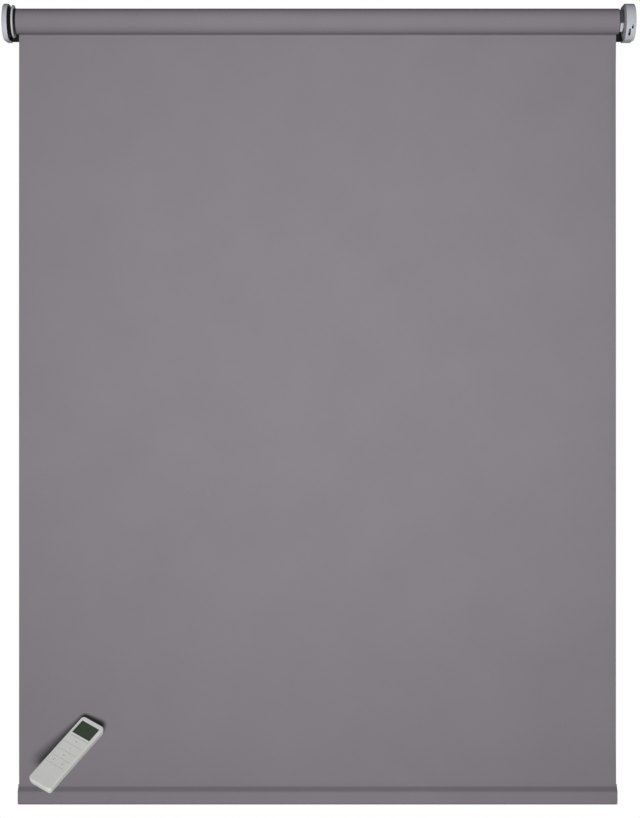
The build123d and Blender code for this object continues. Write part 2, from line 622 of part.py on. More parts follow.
def flatted_shaft(x_from, x_to, margin):
    section = Circle(SHAFT_RADIUS + margin)
    keep = Pos(0, SHAFT_FLAT - SHAFT_RADIUS) * Rectangle(
        3 * SHAFT_RADIUS, 2 * SHAFT_RADIUS + 2 * margin
    )
    return extrude(roller_plane(x_from) * (section & keep), amount=x_to - x_from)


def output_shaft():
    shaft = round_bar(DRIVE_WHEEL_OUTER_X, GEARBOX_X + 2 * SHAFT_RADIUS, SHAFT_RADIUS)
    shaft += flatted_shaft(DRIVE_WHEEL_X, DRIVE_WHEEL_OUTER_X, 0)
    return shaft - round_bar(DRIVE_WHEEL_X, DRIVE_WHEEL_OUTER_X - SIDE_PLAY, SCREW_RADIUS + SCREW_FIT)


def drive_wheel():
    wheel = round_bar(DRIVE_WHEEL_X, DRIVE_WHEEL_OUTER_X, PLUG_RADIUS)
    wheel -= flatted_shaft(DRIVE_WHEEL_X, DRIVE_WHEEL_OUTER_X, SLIP_FIT)
    wheel -= rib_notch(DRIVE_WHEEL_X, DRIVE_WHEEL_OUTER_X)
    pocket_x = DRIVE_WHEEL_X + DRIVE_WHEEL_LENGTH / 3
    return wheel - round_bar(DRIVE_WHEEL_X, pocket_x, PLUG_RADIUS - 2 * SHAFT_RADIUS, 2 * SHAFT_RADIUS)


def drive_wheel_screw():
    return roller_plane(DRIVE_WHEEL_X) * screw(DRIVE_WHEEL_LENGTH / 2)


def crown_ring():
    """The ring that lets the tube's outer end turn on the still motor tube."""
    bore = MOTOR_RADIUS + SLIP_FIT
    ring = round_bar(TUBE_END - CROWN_LENGTH, TUBE_END, PLUG_RADIUS, bore)
    ring -= rib_notch(TUBE_END - CROWN_LENGTH, TUBE_END)
    return ring + round_bar(TUBE_END, TUBE_END + CROWN_FLANGE_LENGTH, CROWN_FLANGE_RADIUS, bore)


def roller_tube():
    section = Circle(TUBE_RADIUS) - Circle(TUBE_INNER_RADIUS)
    rib = Pos(0, (RIB_RADIUS + TUBE_INNER_RADIUS) / 2) * Rectangle(RIB_WIDTH, TUBE_INNER_RADIUS - RIB_RADIUS)
    rib += Pos(0, TUBE_INNER_RADIUS) * Rectangle(RIB_WIDTH, TUBE_WALL)
    section += rib & Circle(TUBE_RADIUS)
    slot_height = GROOVE_LIP_RADIUS - GROOVE_FLOOR_RADIUS
    section -= Pos(0, GROOVE_FLOOR_RADIUS + slot_height / 2) * Rectangle(GROOVE_WIDTH, slot_height)
    section -= Pos(0, TUBE_RADIUS) * Rectangle(GROOVE_MOUTH, 2 * (TUBE_RADIUS - GROOVE_LIP_RADIUS) + SLIP_FIT)
    return extrude(roller_plane(-TUBE_END) * section, amount=CLOTH_WIDTH)


def cloth_strip():
    height = GROOVE_LIP_RADIUS - GROOVE_FLOOR_RADIUS - 2 * RUNNING_FIT
    section = Pos(0, (GROOVE_LIP_RADIUS + GROOVE_FLOOR_RADIUS) / 2) * Rectangle(
        GROOVE_WIDTH - 2 * SLIP_FIT, height
    )
    return extrude(roller_plane(-TUBE_END) * section, amount=CLOTH_WIDTH)


def cloth_roll():
    return round_bar(-TUBE_END, TUBE_END, ROLL_RADIUS, TUBE_RADIUS + RUNNING_FIT)


def cloth_sheet():
    length = -HEM_TOP_Z
    return Pos(0, HEM_CENTRE_Y, -length / 2) * Box(CLOTH_WIDTH, CLOTH_THICKNESS, length)


def teardrop(half_depth, top_z, shoulder_z, bottom_z, top_half):
    """A section that is thin at its top, slopes out to a flat front and ends in a round foot."""
    centre_z = bottom_z + half_depth
    right = Line((half_depth, shoulder_z), (top_half, top_z))
    front = Line((half_depth, centre_z), (half_depth, shoulder_z))
    left = mirror(right, about=Plane.YZ)
    back = mirror(front, about=Plane.YZ)
    foot = RadiusArc((half_depth, centre_z), (-half_depth, centre_z), half_depth)
    outline = [front, right, Line(right @ 1, left @ 1), left, back, foot]
    section = make_face(outline).face()
    return section if section.normal_at().Z > 0 else -section


def hem_plane(x):
    return Plane(origin=(x, HEM_CENTRE_Y, HEM_TOP_Z), x_dir=(0, 1, 0), z_dir=(1, 0, 0))


def hem_section(inset):
    """The round part of the hem from the side, below its seam, drawn in by an inset."""
    top = -HEM_SEAM - 2 * inset
    shoulder = -HEM_SHOULDER - inset
    return teardrop(HEM_HALF_DEPTH - inset, top, shoulder, -HEM_HEIGHT + inset, CLOTH_THICKNESS)


def hem_outline():
    """The whole hem from the side: the flat welded seam, then the sleeve round the bar."""
    seam = Pos(0, -HEM_SEAM / 2) * Rectangle(2 * CLOTH_THICKNESS, HEM_SEAM)
    return seam + hem_section(0)


def hem_sleeve():
    outer = extrude(hem_plane(-TUBE_END) * hem_outline(), amount=CLOTH_WIDTH)
    return outer - extrude(hem_plane(-TUBE_END) * hem_section(CLOTH_THICKNESS), amount=CLOTH_WIDTH)


BAR_INSET = CLOTH_THICKNESS + ROLLING_GAP / 2


def bottom_bar():
    outer = extrude(hem_plane(-TUBE_END) * hem_section(BAR_INSET), amount=CLOTH_WIDTH)
    return outer - extrude(hem_plane(-TUBE_END) * hem_section(BAR_INSET + BAR_WALL), amount=CLOTH_WIDTH)


def bar_cap(side):
    start = TUBE_END if side > 0 else -TUBE_END
    cap = extrude(hem_plane(start) * hem_outline(), amount=side * BAR_CAP_THICKNESS)
    plug = hem_section(BAR_INSET + BAR_WALL + SLIP_FIT)
    return cap + extrude(hem_plane(start) * plug, amount=-side * BAR_CAP_PLUG)


def from_top(distance):
    """A place along the remote, measured from its top end."""
    return REMOTE_LENGTH / 2 - distance


def case_block(z_from, z_to, shrink_from, shrink_to):
    low = Pos(0, 0, z_from) * RectangleRounded(
        REMOTE_WIDTH - 2 * shrink_from, REMOTE_LENGTH - 2 * shrink_from, REMOTE_CORNER - shrink_from
    )
    high = Pos(0, 0, z_to) * RectangleRounded(
        REMOTE_WIDTH - 2 * shrink_to, REMOTE_LENGTH - 2 * shrink_to, REMOTE_CORNER - shrink_to
    )
    return loft([low, high])


KEYS_HEIGHT = KEY_ROWS * KEY_PITCH
KEYS_CENTRE = from_top(KEYS_TOP + KEYS_HEIGHT / 2)
WINDOW_CENTRE = from_top(WINDOW_TOP + WINDOW_HEIGHT / 2)
REMOTE_SCREWS_AT = [
    (side * REMOTE_SCREW_SPAN / 2, from_top(REMOTE_SCREW_FROM_TOP)) for side in (-1, 1)
]


def remote_front_shell():
    base = REMOTE_BACK_DEPTH + REMOTE_SEAM
    shell = case_block(base, REMOTE_FACE, 0, 0)
    shell = fillet(shell.faces().sort_by(Axis.Z)[-1].edges(), REMOTE_EDGE)
    shell -= case_block(base, REMOTE_INNER_FACE, REMOTE_WALL, REMOTE_WALL)
    window = Pos(0, WINDOW_CENTRE, REMOTE_FACE) * Box(WINDOW_WIDTH, WINDOW_HEIGHT, 4 * REMOTE_WALL)
    keys = Pos(0, KEYS_CENTRE, REMOTE_FACE) * Box(
        WINDOW_WIDTH, KEYS_HEIGHT + KEY_SLIT, 4 * REMOTE_WALL
    )
    shell -= window + keys
    for x, y in REMOTE_SCREWS_AT:
        boss = Pos(x, y, base) * extrude(Circle(REMOTE_BOSS_RADIUS), amount=REMOTE_INNER_FACE - base)
        shell += boss
        shell -= Pos(x, y, base) * screw_hole(REMOTE_FRONT_DEPTH / 2, REMOTE_SCREW_RADIUS)
    return shell


def remote_back_shell():
    shell = case_block(0, REMOTE_BACK_DEPTH, REMOTE_TAPER, 0)
    shell -= case_block(REMOTE_WALL, REMOTE_BACK_DEPTH, REMOTE_WALL + REMOTE_TAPER, REMOTE_WALL)
    lip = case_block(REMOTE_BACK_DEPTH, REMOTE_BACK_DEPTH + REMOTE_SEAM, REMOTE_WALL / 4, REMOTE_WALL / 4)
    lip -= case_block(REMOTE_BACK_DEPTH, REMOTE_BACK_DEPTH + REMOTE_SEAM, REMOTE_WALL, REMOTE_WALL)
    shell += lip
    length = BATTERY_COVER_LENGTH + BATTERY_COVER_FIT
    opening = Pos(0, -REMOTE_LENGTH / 2 + length / 2, REMOTE_WALL / 2) * Box(
        BATTERY_COVER_WIDTH + 2 * BATTERY_COVER_FIT, length, REMOTE_WALL + 2 * BATTERY_COVER_FIT
    )
    shell -= opening
    boss = extrude(Circle(REMOTE_BOSS_RADIUS), amount=REMOTE_BACK_DEPTH - REMOTE_WALL)
    for x, y in REMOTE_SCREWS_AT:
        shell += Pos(x, y, REMOTE_WALL) * boss
        shell -= Pos(x, y, 0) * screw_hole(REMOTE_SCREW_HEAD_HEIGHT + SCREW_FIT, REMOTE_SCREW_HEAD_RADIUS)
        shell -= Pos(x, y, 0) * screw_hole(REMOTE_BACK_DEPTH, REMOTE_SCREW_RADIUS)
    return shell


def remote_battery_cover():
    low_end = -REMOTE_LENGTH / 2 + REMOTE_TAPER
    length = BATTERY_COVER_LENGTH - REMOTE_TAPER - BATTERY_COVER_FIT
    cover = Pos(0, low_end + length / 2, REMOTE_WALL / 2) * Box(BATTERY_COVER_WIDTH, length, REMOTE_WALL)
    grip_count = 4
    grip_depth = REMOTE_WALL / 3
    for index in range(grip_count):
        y = low_end + length / 2 + index * 2 * REMOTE_WALL
        cover -= Pos(0, y, 0) * Box(BATTERY_COVER_WIDTH / 2, REMOTE_WALL / 2, grip_depth)
    return cover


def remote_window():
    top = REMOTE_FACE - WINDOW_RECESS
    return Pos(0, WINDOW_CENTRE, top - WINDOW_THICKNESS / 2) * Box(
        WINDOW_WIDTH - 2 * SLIP_FIT, WINDOW_HEIGHT - 2 * SLIP_FIT, WINDOW_THICKNESS
    )


def remote_screen():
    top = REMOTE_FACE - WINDOW_RECESS - WINDOW_THICKNESS
    return Pos(0, WINDOW_CENTRE, top - SCREEN_THICKNESS / 2) * Box(
        WINDOW_WIDTH - REMOTE_WALL, WINDOW_HEIGHT - REMOTE_WALL, SCREEN_THICKNESS
    )


SCREEN_UNDERSIDE = REMOTE_FACE - WINDOW_RECESS - WINDOW_THICKNESS - SCREEN_THICKNESS
BOARD_MARGIN = REMOTE_WALL + ROLLING_GAP


def remote_board():
    width = REMOTE_WIDTH - 2 * BOARD_MARGIN
    top = from_top(REMOTE_SCREW_FROM_TOP + REMOTE_BOSS_RADIUS + SIDE_PLAY)
    bottom = -REMOTE_LENGTH / 2 + REMOTE_CORNER
    board = Pos(0, (top + bottom) / 2, REMOTE_BOARD_Z + BOARD_THICKNESS / 2) * Box(
        width, top - bottom, BOARD_THICKNESS
    )
    carrier_height = SCREEN_UNDERSIDE - REMOTE_BOARD_Z - BOARD_THICKNESS
    carrier_top = min(top, WINDOW_CENTRE + WINDOW_HEIGHT / 2 - REMOTE_WALL)
    carrier_bottom = WINDOW_CENTRE - WINDOW_HEIGHT / 2 + REMOTE_WALL
    carrier = Pos(0, (carrier_top + carrier_bottom) / 2, SCREEN_UNDERSIDE - carrier_height / 2) * Box(
        WINDOW_WIDTH / 2, carrier_top - carrier_bottom, carrier_height
    )
    return board + carrier


def key_places():
    """Name, centre and width of each key: three full rows and a split one."""
    half = WINDOW_WIDTH / 4
    rows = [from_top(KEYS_TOP + KEY_PITCH * (row + 0.5)) for row in range(KEY_ROWS)]
    full_width = WINDOW_WIDTH - 2 * KEY_SIDE_GAP
    half_width = WINDOW_WIDTH / 2 - KEY_SIDE_GAP - KEY_DIVIDER / 2
    places = {}
    for name, y in zip(("key_up", "key_stop", "key_down"), rows):
        places[name] = (0.0, y, full_width)
    places["key_previous"] = (-half, rows[-1], half_width)
    places["key_next"] = (half, rows[-1], half_width)
    return places


def remote_key(x, y, width):
    cap = Box(width, KEY_PITCH - KEY_SLIT, KEY_THICKNESS)
    cap = fillet(cap.faces().sort_by(Axis.Z)[-1].edges(), KEY_EDGE)
    return Pos(x, y, REMOTE_FACE - KEY_THICKNESS / 2) * cap


def remote_keypad():
    """The rubber mat on the board with a raised dome under each key."""
    base = REMOTE_BOARD_Z + BOARD_THICKNESS
    mat = Box(WINDOW_WIDTH, KEYS_HEIGHT - REMOTE_WALL, MAT_THICKNESS)
    mat = Pos(0, KEYS_CENTRE, base + MAT_THICKNESS / 2) * mat
    dome_height = KEY_UNDERSIDE - KEY_TRAVEL - SLIP_FIT - base
    for x, y, _ in key_places().values():
        mat += Pos(x, y, base) * extrude(Circle(MAT_DOME_RADIUS), amount=dome_height)
    return mat


def remote_coin_cell():
    underside = REMOTE_BOARD_Z - CLIP_WALL - RUNNING_FIT - COIN_THICKNESS
    cell = extrude(Circle(COIN_RADIUS), amount=COIN_THICKNESS)
    return Pos(0, from_top(COIN_FROM_TOP), underside) * cell


def remote_cell_clip():
    """A sheet-metal ring under the board that grips the coin cell's side, closed by a disc above it."""
    grip = COIN_THICKNESS * 0.6
    top = REMOTE_BOARD_Z - RUNNING_FIT / 2
    ring = Circle(COIN_RADIUS + RUNNING_FIT + CLIP_WALL) - Circle(COIN_RADIUS + RUNNING_FIT)
    clip = extrude(Pos(0, 0, top - grip) * ring, amount=grip)
    clip += extrude(Pos(0, 0, top - CLIP_WALL) * Circle(COIN_RADIUS + CLIP_WALL), amount=CLIP_WALL)
    return Pos(0, from_top(COIN_FROM_TOP), 0) * clip


def remote_screws():
    length = REMOTE_BACK_DEPTH - REMOTE_SCREW_HEAD_HEIGHT + REMOTE_FRONT_DEPTH / 3
    one = screw(length, REMOTE_SCREW_RADIUS, REMOTE_SCREW_HEAD_RADIUS, REMOTE_SCREW_HEAD_HEIGHT)
    return [Pos(x, y, REMOTE_SCREW_HEAD_HEIGHT) * one for x, y in REMOTE_SCREWS_AT]


def remote_place():
    """Where the remote's back centre lies and how it is turned: its face looks up and to the room."""
    spin = radians(REMOTE_SPIN)
    tilt = radians(REMOTE_TILT)
    across = Vector(cos(spin), -sin(spin) * sin(tilt), -sin(spin) * cos(tilt))
    outward = Vector(0, -cos(tilt), sin(tilt))
    upward = outward.cross(across)
    reach = abs(upward.Y) * REMOTE_LENGTH / 2 + abs(across.Y) * REMOTE_WIDTH / 2
    y = HEM_CENTRE_Y - HEM_HALF_DEPTH - REMOTE_CLEARANCE - reach
    return Plane(origin=(REMOTE_CENTRE_X, y, REMOTE_CENTRE_Z), x_dir=across, z_dir=outward)


def remote_parts():
    parts = {
        "remote_front_shell": remote_front_shell(),
        "remote_back_shell": remote_back_shell(),
        "remote_battery_cover": remote_battery_cover(),
        "remote_window": remote_window(),
        "remote_screen": remote_screen(),
        "remote_board": remote_board(),
        "remote_keypad": remote_keypad(),
        "remote_coin_cell": remote_coin_cell(),
        "remote_cell_clip": remote_cell_clip(),
        "remote_screws": remote_screws(),
    }
    for name, (x, y, width) in key_places().items():
        parts[name] = remote_key(x, y, width)
    return parts


def blind_parts():
    return {
        "idler_bracket": idler_bracket(),
        "idler_hub": idler_hub(),
        "idler_hub_screws": idler_hub_screws(),
        "idler_cover": idler_cover(),
        "idler_plug": idler_plug(),
        "idler_flange": idler_flange(),
        "idler_flange_screws": idler_flange_screws(),
        "idler_pin": idler_pin(),
        "idler_spring": idler_spring(),
        "motor_bracket": motor_bracket(),
        "motor_bezel": motor_bezel(),
        "motor_cover": motor_cover(),
        "motor_head": motor_head(),
        "head_clip": head_clip(),
        "receiver_housing": receiver_housing(),
        "receiver_board": receiver_board(),
        "charging_socket": charging_socket(),
        "program_switch": program_switch(),
        "program_button": program_button(),
        "status_lamp": status_lamp(),
        "receiver_screws": receiver_screws(),
        "motor_tube": motor_tube(),
        "battery_tray": battery_tray(),
        "battery_cells": battery_cells(),
        "driver_board": driver_board(),
        "electric_motor": electric_motor(),
        "gearbox": gearbox(),
        "end_cap": end_cap(),
        "output_bearing": output_bearing(),
        "output_shaft": output_shaft(),
        "drive_wheel": drive_wheel(),
        "drive_wheel_screw": drive_wheel_screw(),
        "crown_ring": crown_ring(),
        "roller_tube": roller_tube(),
        "cloth_strip": cloth_strip(),
        "cloth_roll": cloth_roll(),
        "cloth_sheet": cloth_sheet(),
        "hem_sleeve": hem_sleeve(),
        "bottom_bar": bottom_bar(),
        "bar_cap_left": bar_cap(-1),
        "bar_cap_right": bar_cap(1),
    }


def write_step(name, shape):
    solids = shape if isinstance(shape, list) else [shape]
    pieces = [solid for piece in solids for solid in piece.solids()]
    whole = pieces[0] if len(pieces) == 1 else Compound(children=pieces)
    export_step(whole, f"parts/{name}.step")


def main():
    os.makedirs("parts", exist_ok=True)
    place = remote_place()
    for name, shape in blind_parts().items():
        write_step(name, shape)
    for name, shape in remote_parts().items():
        pieces = shape if isinstance(shape, list) else [shape]
        write_step(name, [place * piece for piece in pieces])


main()
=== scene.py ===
# %% [markdown]
# # A motorized roller blind, dressed for the camera
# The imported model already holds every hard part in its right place. This lesson gives each part its
# finish, remakes the cloth as cloth, adds the printed marks on the remote's keys, and sets up a plain
# studio. Everything is in metres: x runs along the roller, y into the wall, and z up. Loading leaves
# every part selected, so they are deselected before anything new is made.

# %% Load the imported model
import json
from contextlib import contextmanager
from math import atan2, cos, hypot, pi, radians, sin

import bmesh
import bpy
from mathutils import Matrix, Vector

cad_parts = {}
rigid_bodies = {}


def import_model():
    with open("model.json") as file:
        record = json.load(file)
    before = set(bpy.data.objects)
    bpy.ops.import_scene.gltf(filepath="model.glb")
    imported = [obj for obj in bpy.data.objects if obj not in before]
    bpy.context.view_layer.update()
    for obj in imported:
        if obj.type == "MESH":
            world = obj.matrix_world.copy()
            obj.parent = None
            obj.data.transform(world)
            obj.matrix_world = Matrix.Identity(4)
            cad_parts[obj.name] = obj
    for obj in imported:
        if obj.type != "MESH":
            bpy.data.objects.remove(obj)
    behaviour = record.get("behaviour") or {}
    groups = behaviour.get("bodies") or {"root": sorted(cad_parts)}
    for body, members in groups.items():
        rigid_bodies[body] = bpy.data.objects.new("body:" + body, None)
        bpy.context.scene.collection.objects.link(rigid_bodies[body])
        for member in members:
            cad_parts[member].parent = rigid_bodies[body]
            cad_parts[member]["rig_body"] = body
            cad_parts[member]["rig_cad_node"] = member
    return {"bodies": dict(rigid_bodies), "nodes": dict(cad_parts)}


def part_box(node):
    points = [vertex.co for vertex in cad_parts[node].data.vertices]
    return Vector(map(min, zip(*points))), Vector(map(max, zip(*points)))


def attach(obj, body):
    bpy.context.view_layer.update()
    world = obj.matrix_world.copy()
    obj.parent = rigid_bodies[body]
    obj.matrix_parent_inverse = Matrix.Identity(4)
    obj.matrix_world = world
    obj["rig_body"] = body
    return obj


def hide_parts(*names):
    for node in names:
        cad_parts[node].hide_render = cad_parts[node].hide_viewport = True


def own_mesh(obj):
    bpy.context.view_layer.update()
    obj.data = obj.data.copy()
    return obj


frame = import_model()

for leftover in set(bpy.data.objects) - set(frame["nodes"].values()) - set(frame["bodies"].values()):
    bpy.data.objects.remove(leftover)
bpy.ops.object.select_all(action="DESELECT")
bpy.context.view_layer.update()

# %% [markdown]
# ## Sizes that the cloth pieces share
# The cloth hangs from the wall side of the roll, so that its sheet lies close to the window. Its sizes
# could be typed in. They are read from the boxes of the solids that the cloth stands for, so that the
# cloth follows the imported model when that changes.

# %% Read the sizes from the solids
roll_low, roll_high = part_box("cloth_roll")
sheet_low, sheet_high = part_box("cloth_sheet")
hem_low, hem_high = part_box("hem_sleeve")
tube_low, tube_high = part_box("roller_tube")

HALF_WIDTH = roll_high.x
AXIS_Y = (roll_low.y + roll_high.y) / 2
ROLL_RADIUS = (roll_high.y - roll_low.y) / 2
TUBE_RADIUS = (tube_high.y - tube_low.y) / 2
SHEET_Y = (sheet_low.y + sheet_high.y) / 2
SHEET_FOOT = sheet_low.z
HEM_FOOT = hem_low.z
HEM_HALF_DEPTH = (hem_high.y - hem_low.y) / 2
CLOTH = 0.00042
CLOTH_SHARP = 50
AXIS = Vector((0, AXIS_Y, 0))
print("roll radius", round(ROLL_RADIUS, 4))
print("sheet foot", round(SHEET_FOOT, 3), "hem foot", round(HEM_FOOT, 3))

# %% [markdown]
# ## The camera
# The blind is seen straight on from a little over three metres, with the lens level and held at half
# the blind's height, so that the roll is seen slightly from below and the bar slightly from above. A
# longer lens from further away would frame it the same, but show less of the covers' sides.

# %% Place the camera
CAMERA_PLACE = (0.004, -3.2, -0.6446)
CAMERA_LENS = 83.65
camera_data = bpy.data.cameras.new("camera")
camera_data.lens = CAMERA_LENS
camera = bpy.data.objects.new("camera", camera_data)
camera.location = CAMERA_PLACE
camera.rotation_euler = (pi / 2, 0, 0)
bpy.context.scene.collection.objects.link(camera)
bpy.context.scene.camera = camera
print("camera", CAMERA_PLACE, "lens", CAMERA_LENS)

# %% [markdown]
# ## Shader maths in plain Python
# A procedural finish is a small sum: noise, waves and masks added and multiplied. Its nodes could be
# made and linked one by one, which takes three lines for each and hides the sum. Wrapping one socket
# in a class with operators lets a sum be written as a sum. Every other node comes from one method of
# its tree, which sets the node's settings first and then its sockets. A finish is such a tree with the
# Principled shader at its end.

# %% One value in a tree of nodes
class Value:
    """An output socket of a tree, so that sums on it add their nodes."""

    def __init__(self, nodes, socket):
        self.nodes, self.socket = nodes, socket

    def maths(self, operation, *others):
        """This value first, then the others, through one Math node."""
        terms = dict(enumerate((self, *others)))
        return self.nodes.node("ShaderNodeMath", {"operation": operation}, terms)

    def __add__(self, other):
        return self.maths("ADD", other)

    def __sub__(self, other):
        return self.maths("SUBTRACT", other)

    def __mul__(self, other):
        return self.maths("MULTIPLY", other)

    def __gt__(self, other):
        return self.maths("GREATER_THAN", other)

    def __lt__(self, other):
        return self.maths("LESS_THAN", other)

    def wave(self, period):
        """A sine of this length, from -1 to 1."""
        return (self * (2 * pi / period)).maths("SINE")

    def apart(self, period):
        """How far the value is past the last multiple of a length, from 0 to that length."""
        return self.maths("FLOORED_MODULO", period)

    __radd__ = __add__


# %% A tree of nodes, and a finish
class Nodes:
    """A tree, with the few kinds of node that this scene uses."""

    def __init__(self, tree):
        self.tree = tree

    def node(self, kind, settings=None, inputs=None, output=0):
        """A new node with its settings and sockets, as the value of one of its outputs."""
        made = self.tree.nodes.new(kind)
        for name, value in (settings or {}).items():
            setattr(made, name, value)
        for name, value in (inputs or {}).items():
            if isinstance(value, Value):
                self.tree.links.new(value.socket, made.inputs[name])
            else:
                made.inputs[name].default_value = value
        return Value(self, made.outputs[output])

    def place(self, scale=(1, 1, 1), move=(0, 0, 0)):
        """The point on the piece, moved and then stretched."""
        point = self.node("ShaderNodeTexCoord", output="Object")
        moved = self.node("ShaderNodeVectorMath", {"operation": "ADD"}, {0: point, 1: move})
        return self.node("ShaderNodeVectorMath", {"operation": "MULTIPLY"}, {0: moved, 1: scale})

    def axes(self, vector):
        """The three parts of a vector."""
        outputs = self.node("ShaderNodeSeparateXYZ", {}, {"Vector": vector}).socket.node.outputs
        return [Value(self, outputs[axis]) for axis in "XYZ"]

    def vector(self, x, y):
        return self.node("ShaderNodeCombineXYZ", {}, {"X": x, "Y": y})

    def noise(self, vector, scale=1.0, detail=2.0):
        return self.node("ShaderNodeTexNoise", {}, {"Vector": vector, "Scale": scale, "Detail": detail})

    def mix(self, factor, first, second):
        """The first colour at 0, the second at 1. A Mix node numbers its colour sockets 6, 7 and 2."""
        return self.node("ShaderNodeMix", {"data_type": "RGBA"}, {0: factor, 6: first, 7: second}, 2)


class Finish(Nodes):
    """A material on the Principled shader."""

    def __init__(self, name, **constants):
        self.material = bpy.data.materials.new(name)
        self.material.use_nodes = True
        super().__init__(self.material.node_tree)
        self.shader = self.tree.nodes["Principled BSDF"]
        for socket, value in constants.items():
            self.shader.inputs[socket.replace("_", " ")].default_value = value

    def feed(self, **values):
        """Links values that vary over the piece to the shader's sockets."""
        for socket, value in values.items():
            self.tree.links.new(value.socket, self.shader.inputs[socket.replace("_", " ")])

    def bump(self, height, depth, strength=1.0):
        """Raises the surface by a depth where the height is 1."""
        inputs = {"Height": height, "Distance": depth, "Strength": strength}
        self.feed(Normal=self.node("ShaderNodeBump", {}, inputs))


def shade(colour, share):
    """The same colour, lighter or darker."""
    return tuple(min(1.0, part * share) for part in colour[:3]) + (1.0,)


print("a grey made lighter:", shade((0.4, 0.4, 0.4), 1.25))

# %% [markdown]
# ## Woven cloth
# The blind's cloth is a fine plain weave, closer than the eye can part from across a room. Up close,
# threads pass over and under each other about twenty to the centimetre, some thicker than others.
# Threads of real mesh would take millions of faces, so the weave is a bump and a change of tone. It
# follows each cloth piece's own map in metres, so that it runs round the roll and the hem.

# %% Woven cloth
THREAD_PITCH = 0.0005
THREAD_DEPTH = 0.00012
SLUB_LENGTH = 0.018
CLOTH_COLOUR = (0.231, 0.2145, 0.2345, 1)


def woven(name):
    cloth = Finish(name, Roughness=0.95, Specular_IOR_Level=0.15)
    weave = cloth.node("ShaderNodeUVMap", {"uv_map": "weave"})
    across, along, _ = cloth.axes(weave)
    over = across.wave(2 * THREAD_PITCH) * along.wave(2 * THREAD_PITCH)
    warp_slubs = cloth.noise(cloth.vector(across * (1 / THREAD_PITCH), along * (1 / SLUB_LENGTH)))
    weft_slubs = cloth.noise(cloth.vector(across * (1 / SLUB_LENGTH), along * (1 / THREAD_PITCH)))
    mottle = cloth.noise(weave, 9.0, 4.0)
    thread = (over * 0.2 + 0.5) + (warp_slubs - 0.5) * 0.5 + (weft_slubs - 0.5) * 0.5
    tone = thread * 0.6 + mottle * 0.4
    cloth.feed(Base_Color=cloth.mix(tone, shade(CLOTH_COLOUR, 0.86), shade(CLOTH_COLOUR, 1.14)))
    cloth.bump(thread, THREAD_DEPTH, 0.6)
    return cloth.material


cloth_finish = woven("cloth_woven")
print("threads to the centimetre", round(0.01 / THREAD_PITCH))

# %% [markdown]
# ## Moulded and painted parts
# Covers, caps and the remote's case come out of moulds with a fine grain, and paint over metal shows a
# faint orange peel. A plain colour would do from far away, but up close it looks like a drawing. Both
# are a small bump, a little change in gloss and a barely uneven tone, so one function makes them all
# from a colour, a gloss and a grain size. The black parts get a lower specular than the rest, as the
# studio that they mirror is whiter than a room.


# %% Moulded and painted parts
def moulded(name, colour, roughness, grain=0.0006, depth=0.00002, **constants):
    part = Finish(name, **constants)
    fine = part.noise(part.place((1 / grain,) * 3), 1.0, 3.0)
    broad = part.noise(part.place(), 60.0, 2.0)
    part.feed(
        Base_Color=part.mix(broad * 0.7 + fine * 0.3, shade(colour, 0.94), shade(colour, 1.06)),
        Roughness=(fine - 0.5) * 0.12 + (broad - 0.5) * 0.08 + roughness,
    )
    part.bump(fine, depth, 0.5)
    return part.material


PAINT = {"grain": 0.0004, "depth": 0.00001, "Metallic": 0.2}
POWDER_COAT = {"grain": 0.0009, "depth": 0.00003, "Specular_IOR_Level": 0.25}
finishes = {
    "silver_cover": moulded("silver_paint", (0.63, 0.645, 0.70), 0.5, **PAINT),
    "grey_bezel": moulded("bezel_paint", (0.54, 0.555, 0.60), 0.45, **PAINT),
    "black_steel": moulded("black_powder_coat", (0.014, 0.014, 0.015), 0.5, **POWDER_COAT),
    "black_plastic": moulded("black_moulding", (0.012, 0.012, 0.013), 0.42, Specular_IOR_Level=0.3),
    "grey_plastic": moulded("flange_moulding", (0.62, 0.62, 0.63), 0.4),
    "cap_grey": moulded("bar_cap_moulding", (0.20, 0.192, 0.208), 0.55),
    "strip_plastic": moulded("strip_extrusion", (0.62, 0.62, 0.60), 0.45),
    "switch_black": moulded("switch_moulding", (0.02, 0.02, 0.02), 0.4),
    "button_grey": moulded("button_moulding", (0.5, 0.5, 0.51), 0.45),
    "remote_white": moulded("remote_moulding", (0.90, 0.90, 0.885), 0.46, grain=0.0005, depth=0.000012),
    "keypad_rubber": moulded("keypad_rubber", (0.025, 0.025, 0.026), 0.7),
}
print("moulded and painted finishes", len(finishes))

# %% [markdown]
# ## Bare metal
# The motor's neck is turned on a lathe and polished, which leaves rings round the axis too fine to
# feel. The tube and the bottom bar are drawn through a die, which leaves lines along their length.
# Screws, the pin and the spring are plain bright steel. An anisotropic gloss could stretch the
# highlights alone. A noise stretched one way gives each lay in tone, gloss and bump at once.

# %% Bare metal
LAY_DEPTH = 0.000004


def bare_metal(name, colour, roughness, lay):
    """Polished or drawn metal. The lay says how often to the metre the streaks change on each axis."""
    metal = Finish(name, Metallic=1.0)
    streaks = metal.noise(metal.place(lay, (0, -AXIS_Y, 0)), 1.0, 3.0)
    cloud = metal.noise(metal.place(), 45.0, 2.0)
    metal.feed(
        Base_Color=metal.mix(streaks * 0.5 + cloud * 0.5, shade(colour, 0.9), shade(colour, 1.08)),
        Roughness=(streaks - 0.5) * 0.1 + (cloud - 0.5) * 0.06 + roughness,
    )
    metal.bump(streaks, LAY_DEPTH, 0.5)
    return metal.material


finishes["polished_metal"] = bare_metal("turned_neck", (0.56, 0.59, 0.64), 0.16, (9000, 60, 60))
finishes["steel"] = bare_metal("bright_steel", (0.58, 0.58, 0.6), 0.3, (3000, 3000, 3000))
finishes["aluminium"] = bare_metal("drawn_aluminium", (0.72, 0.72, 0.73), 0.32, (8, 5000, 5000))
print("finishes with the metals", len(finishes))

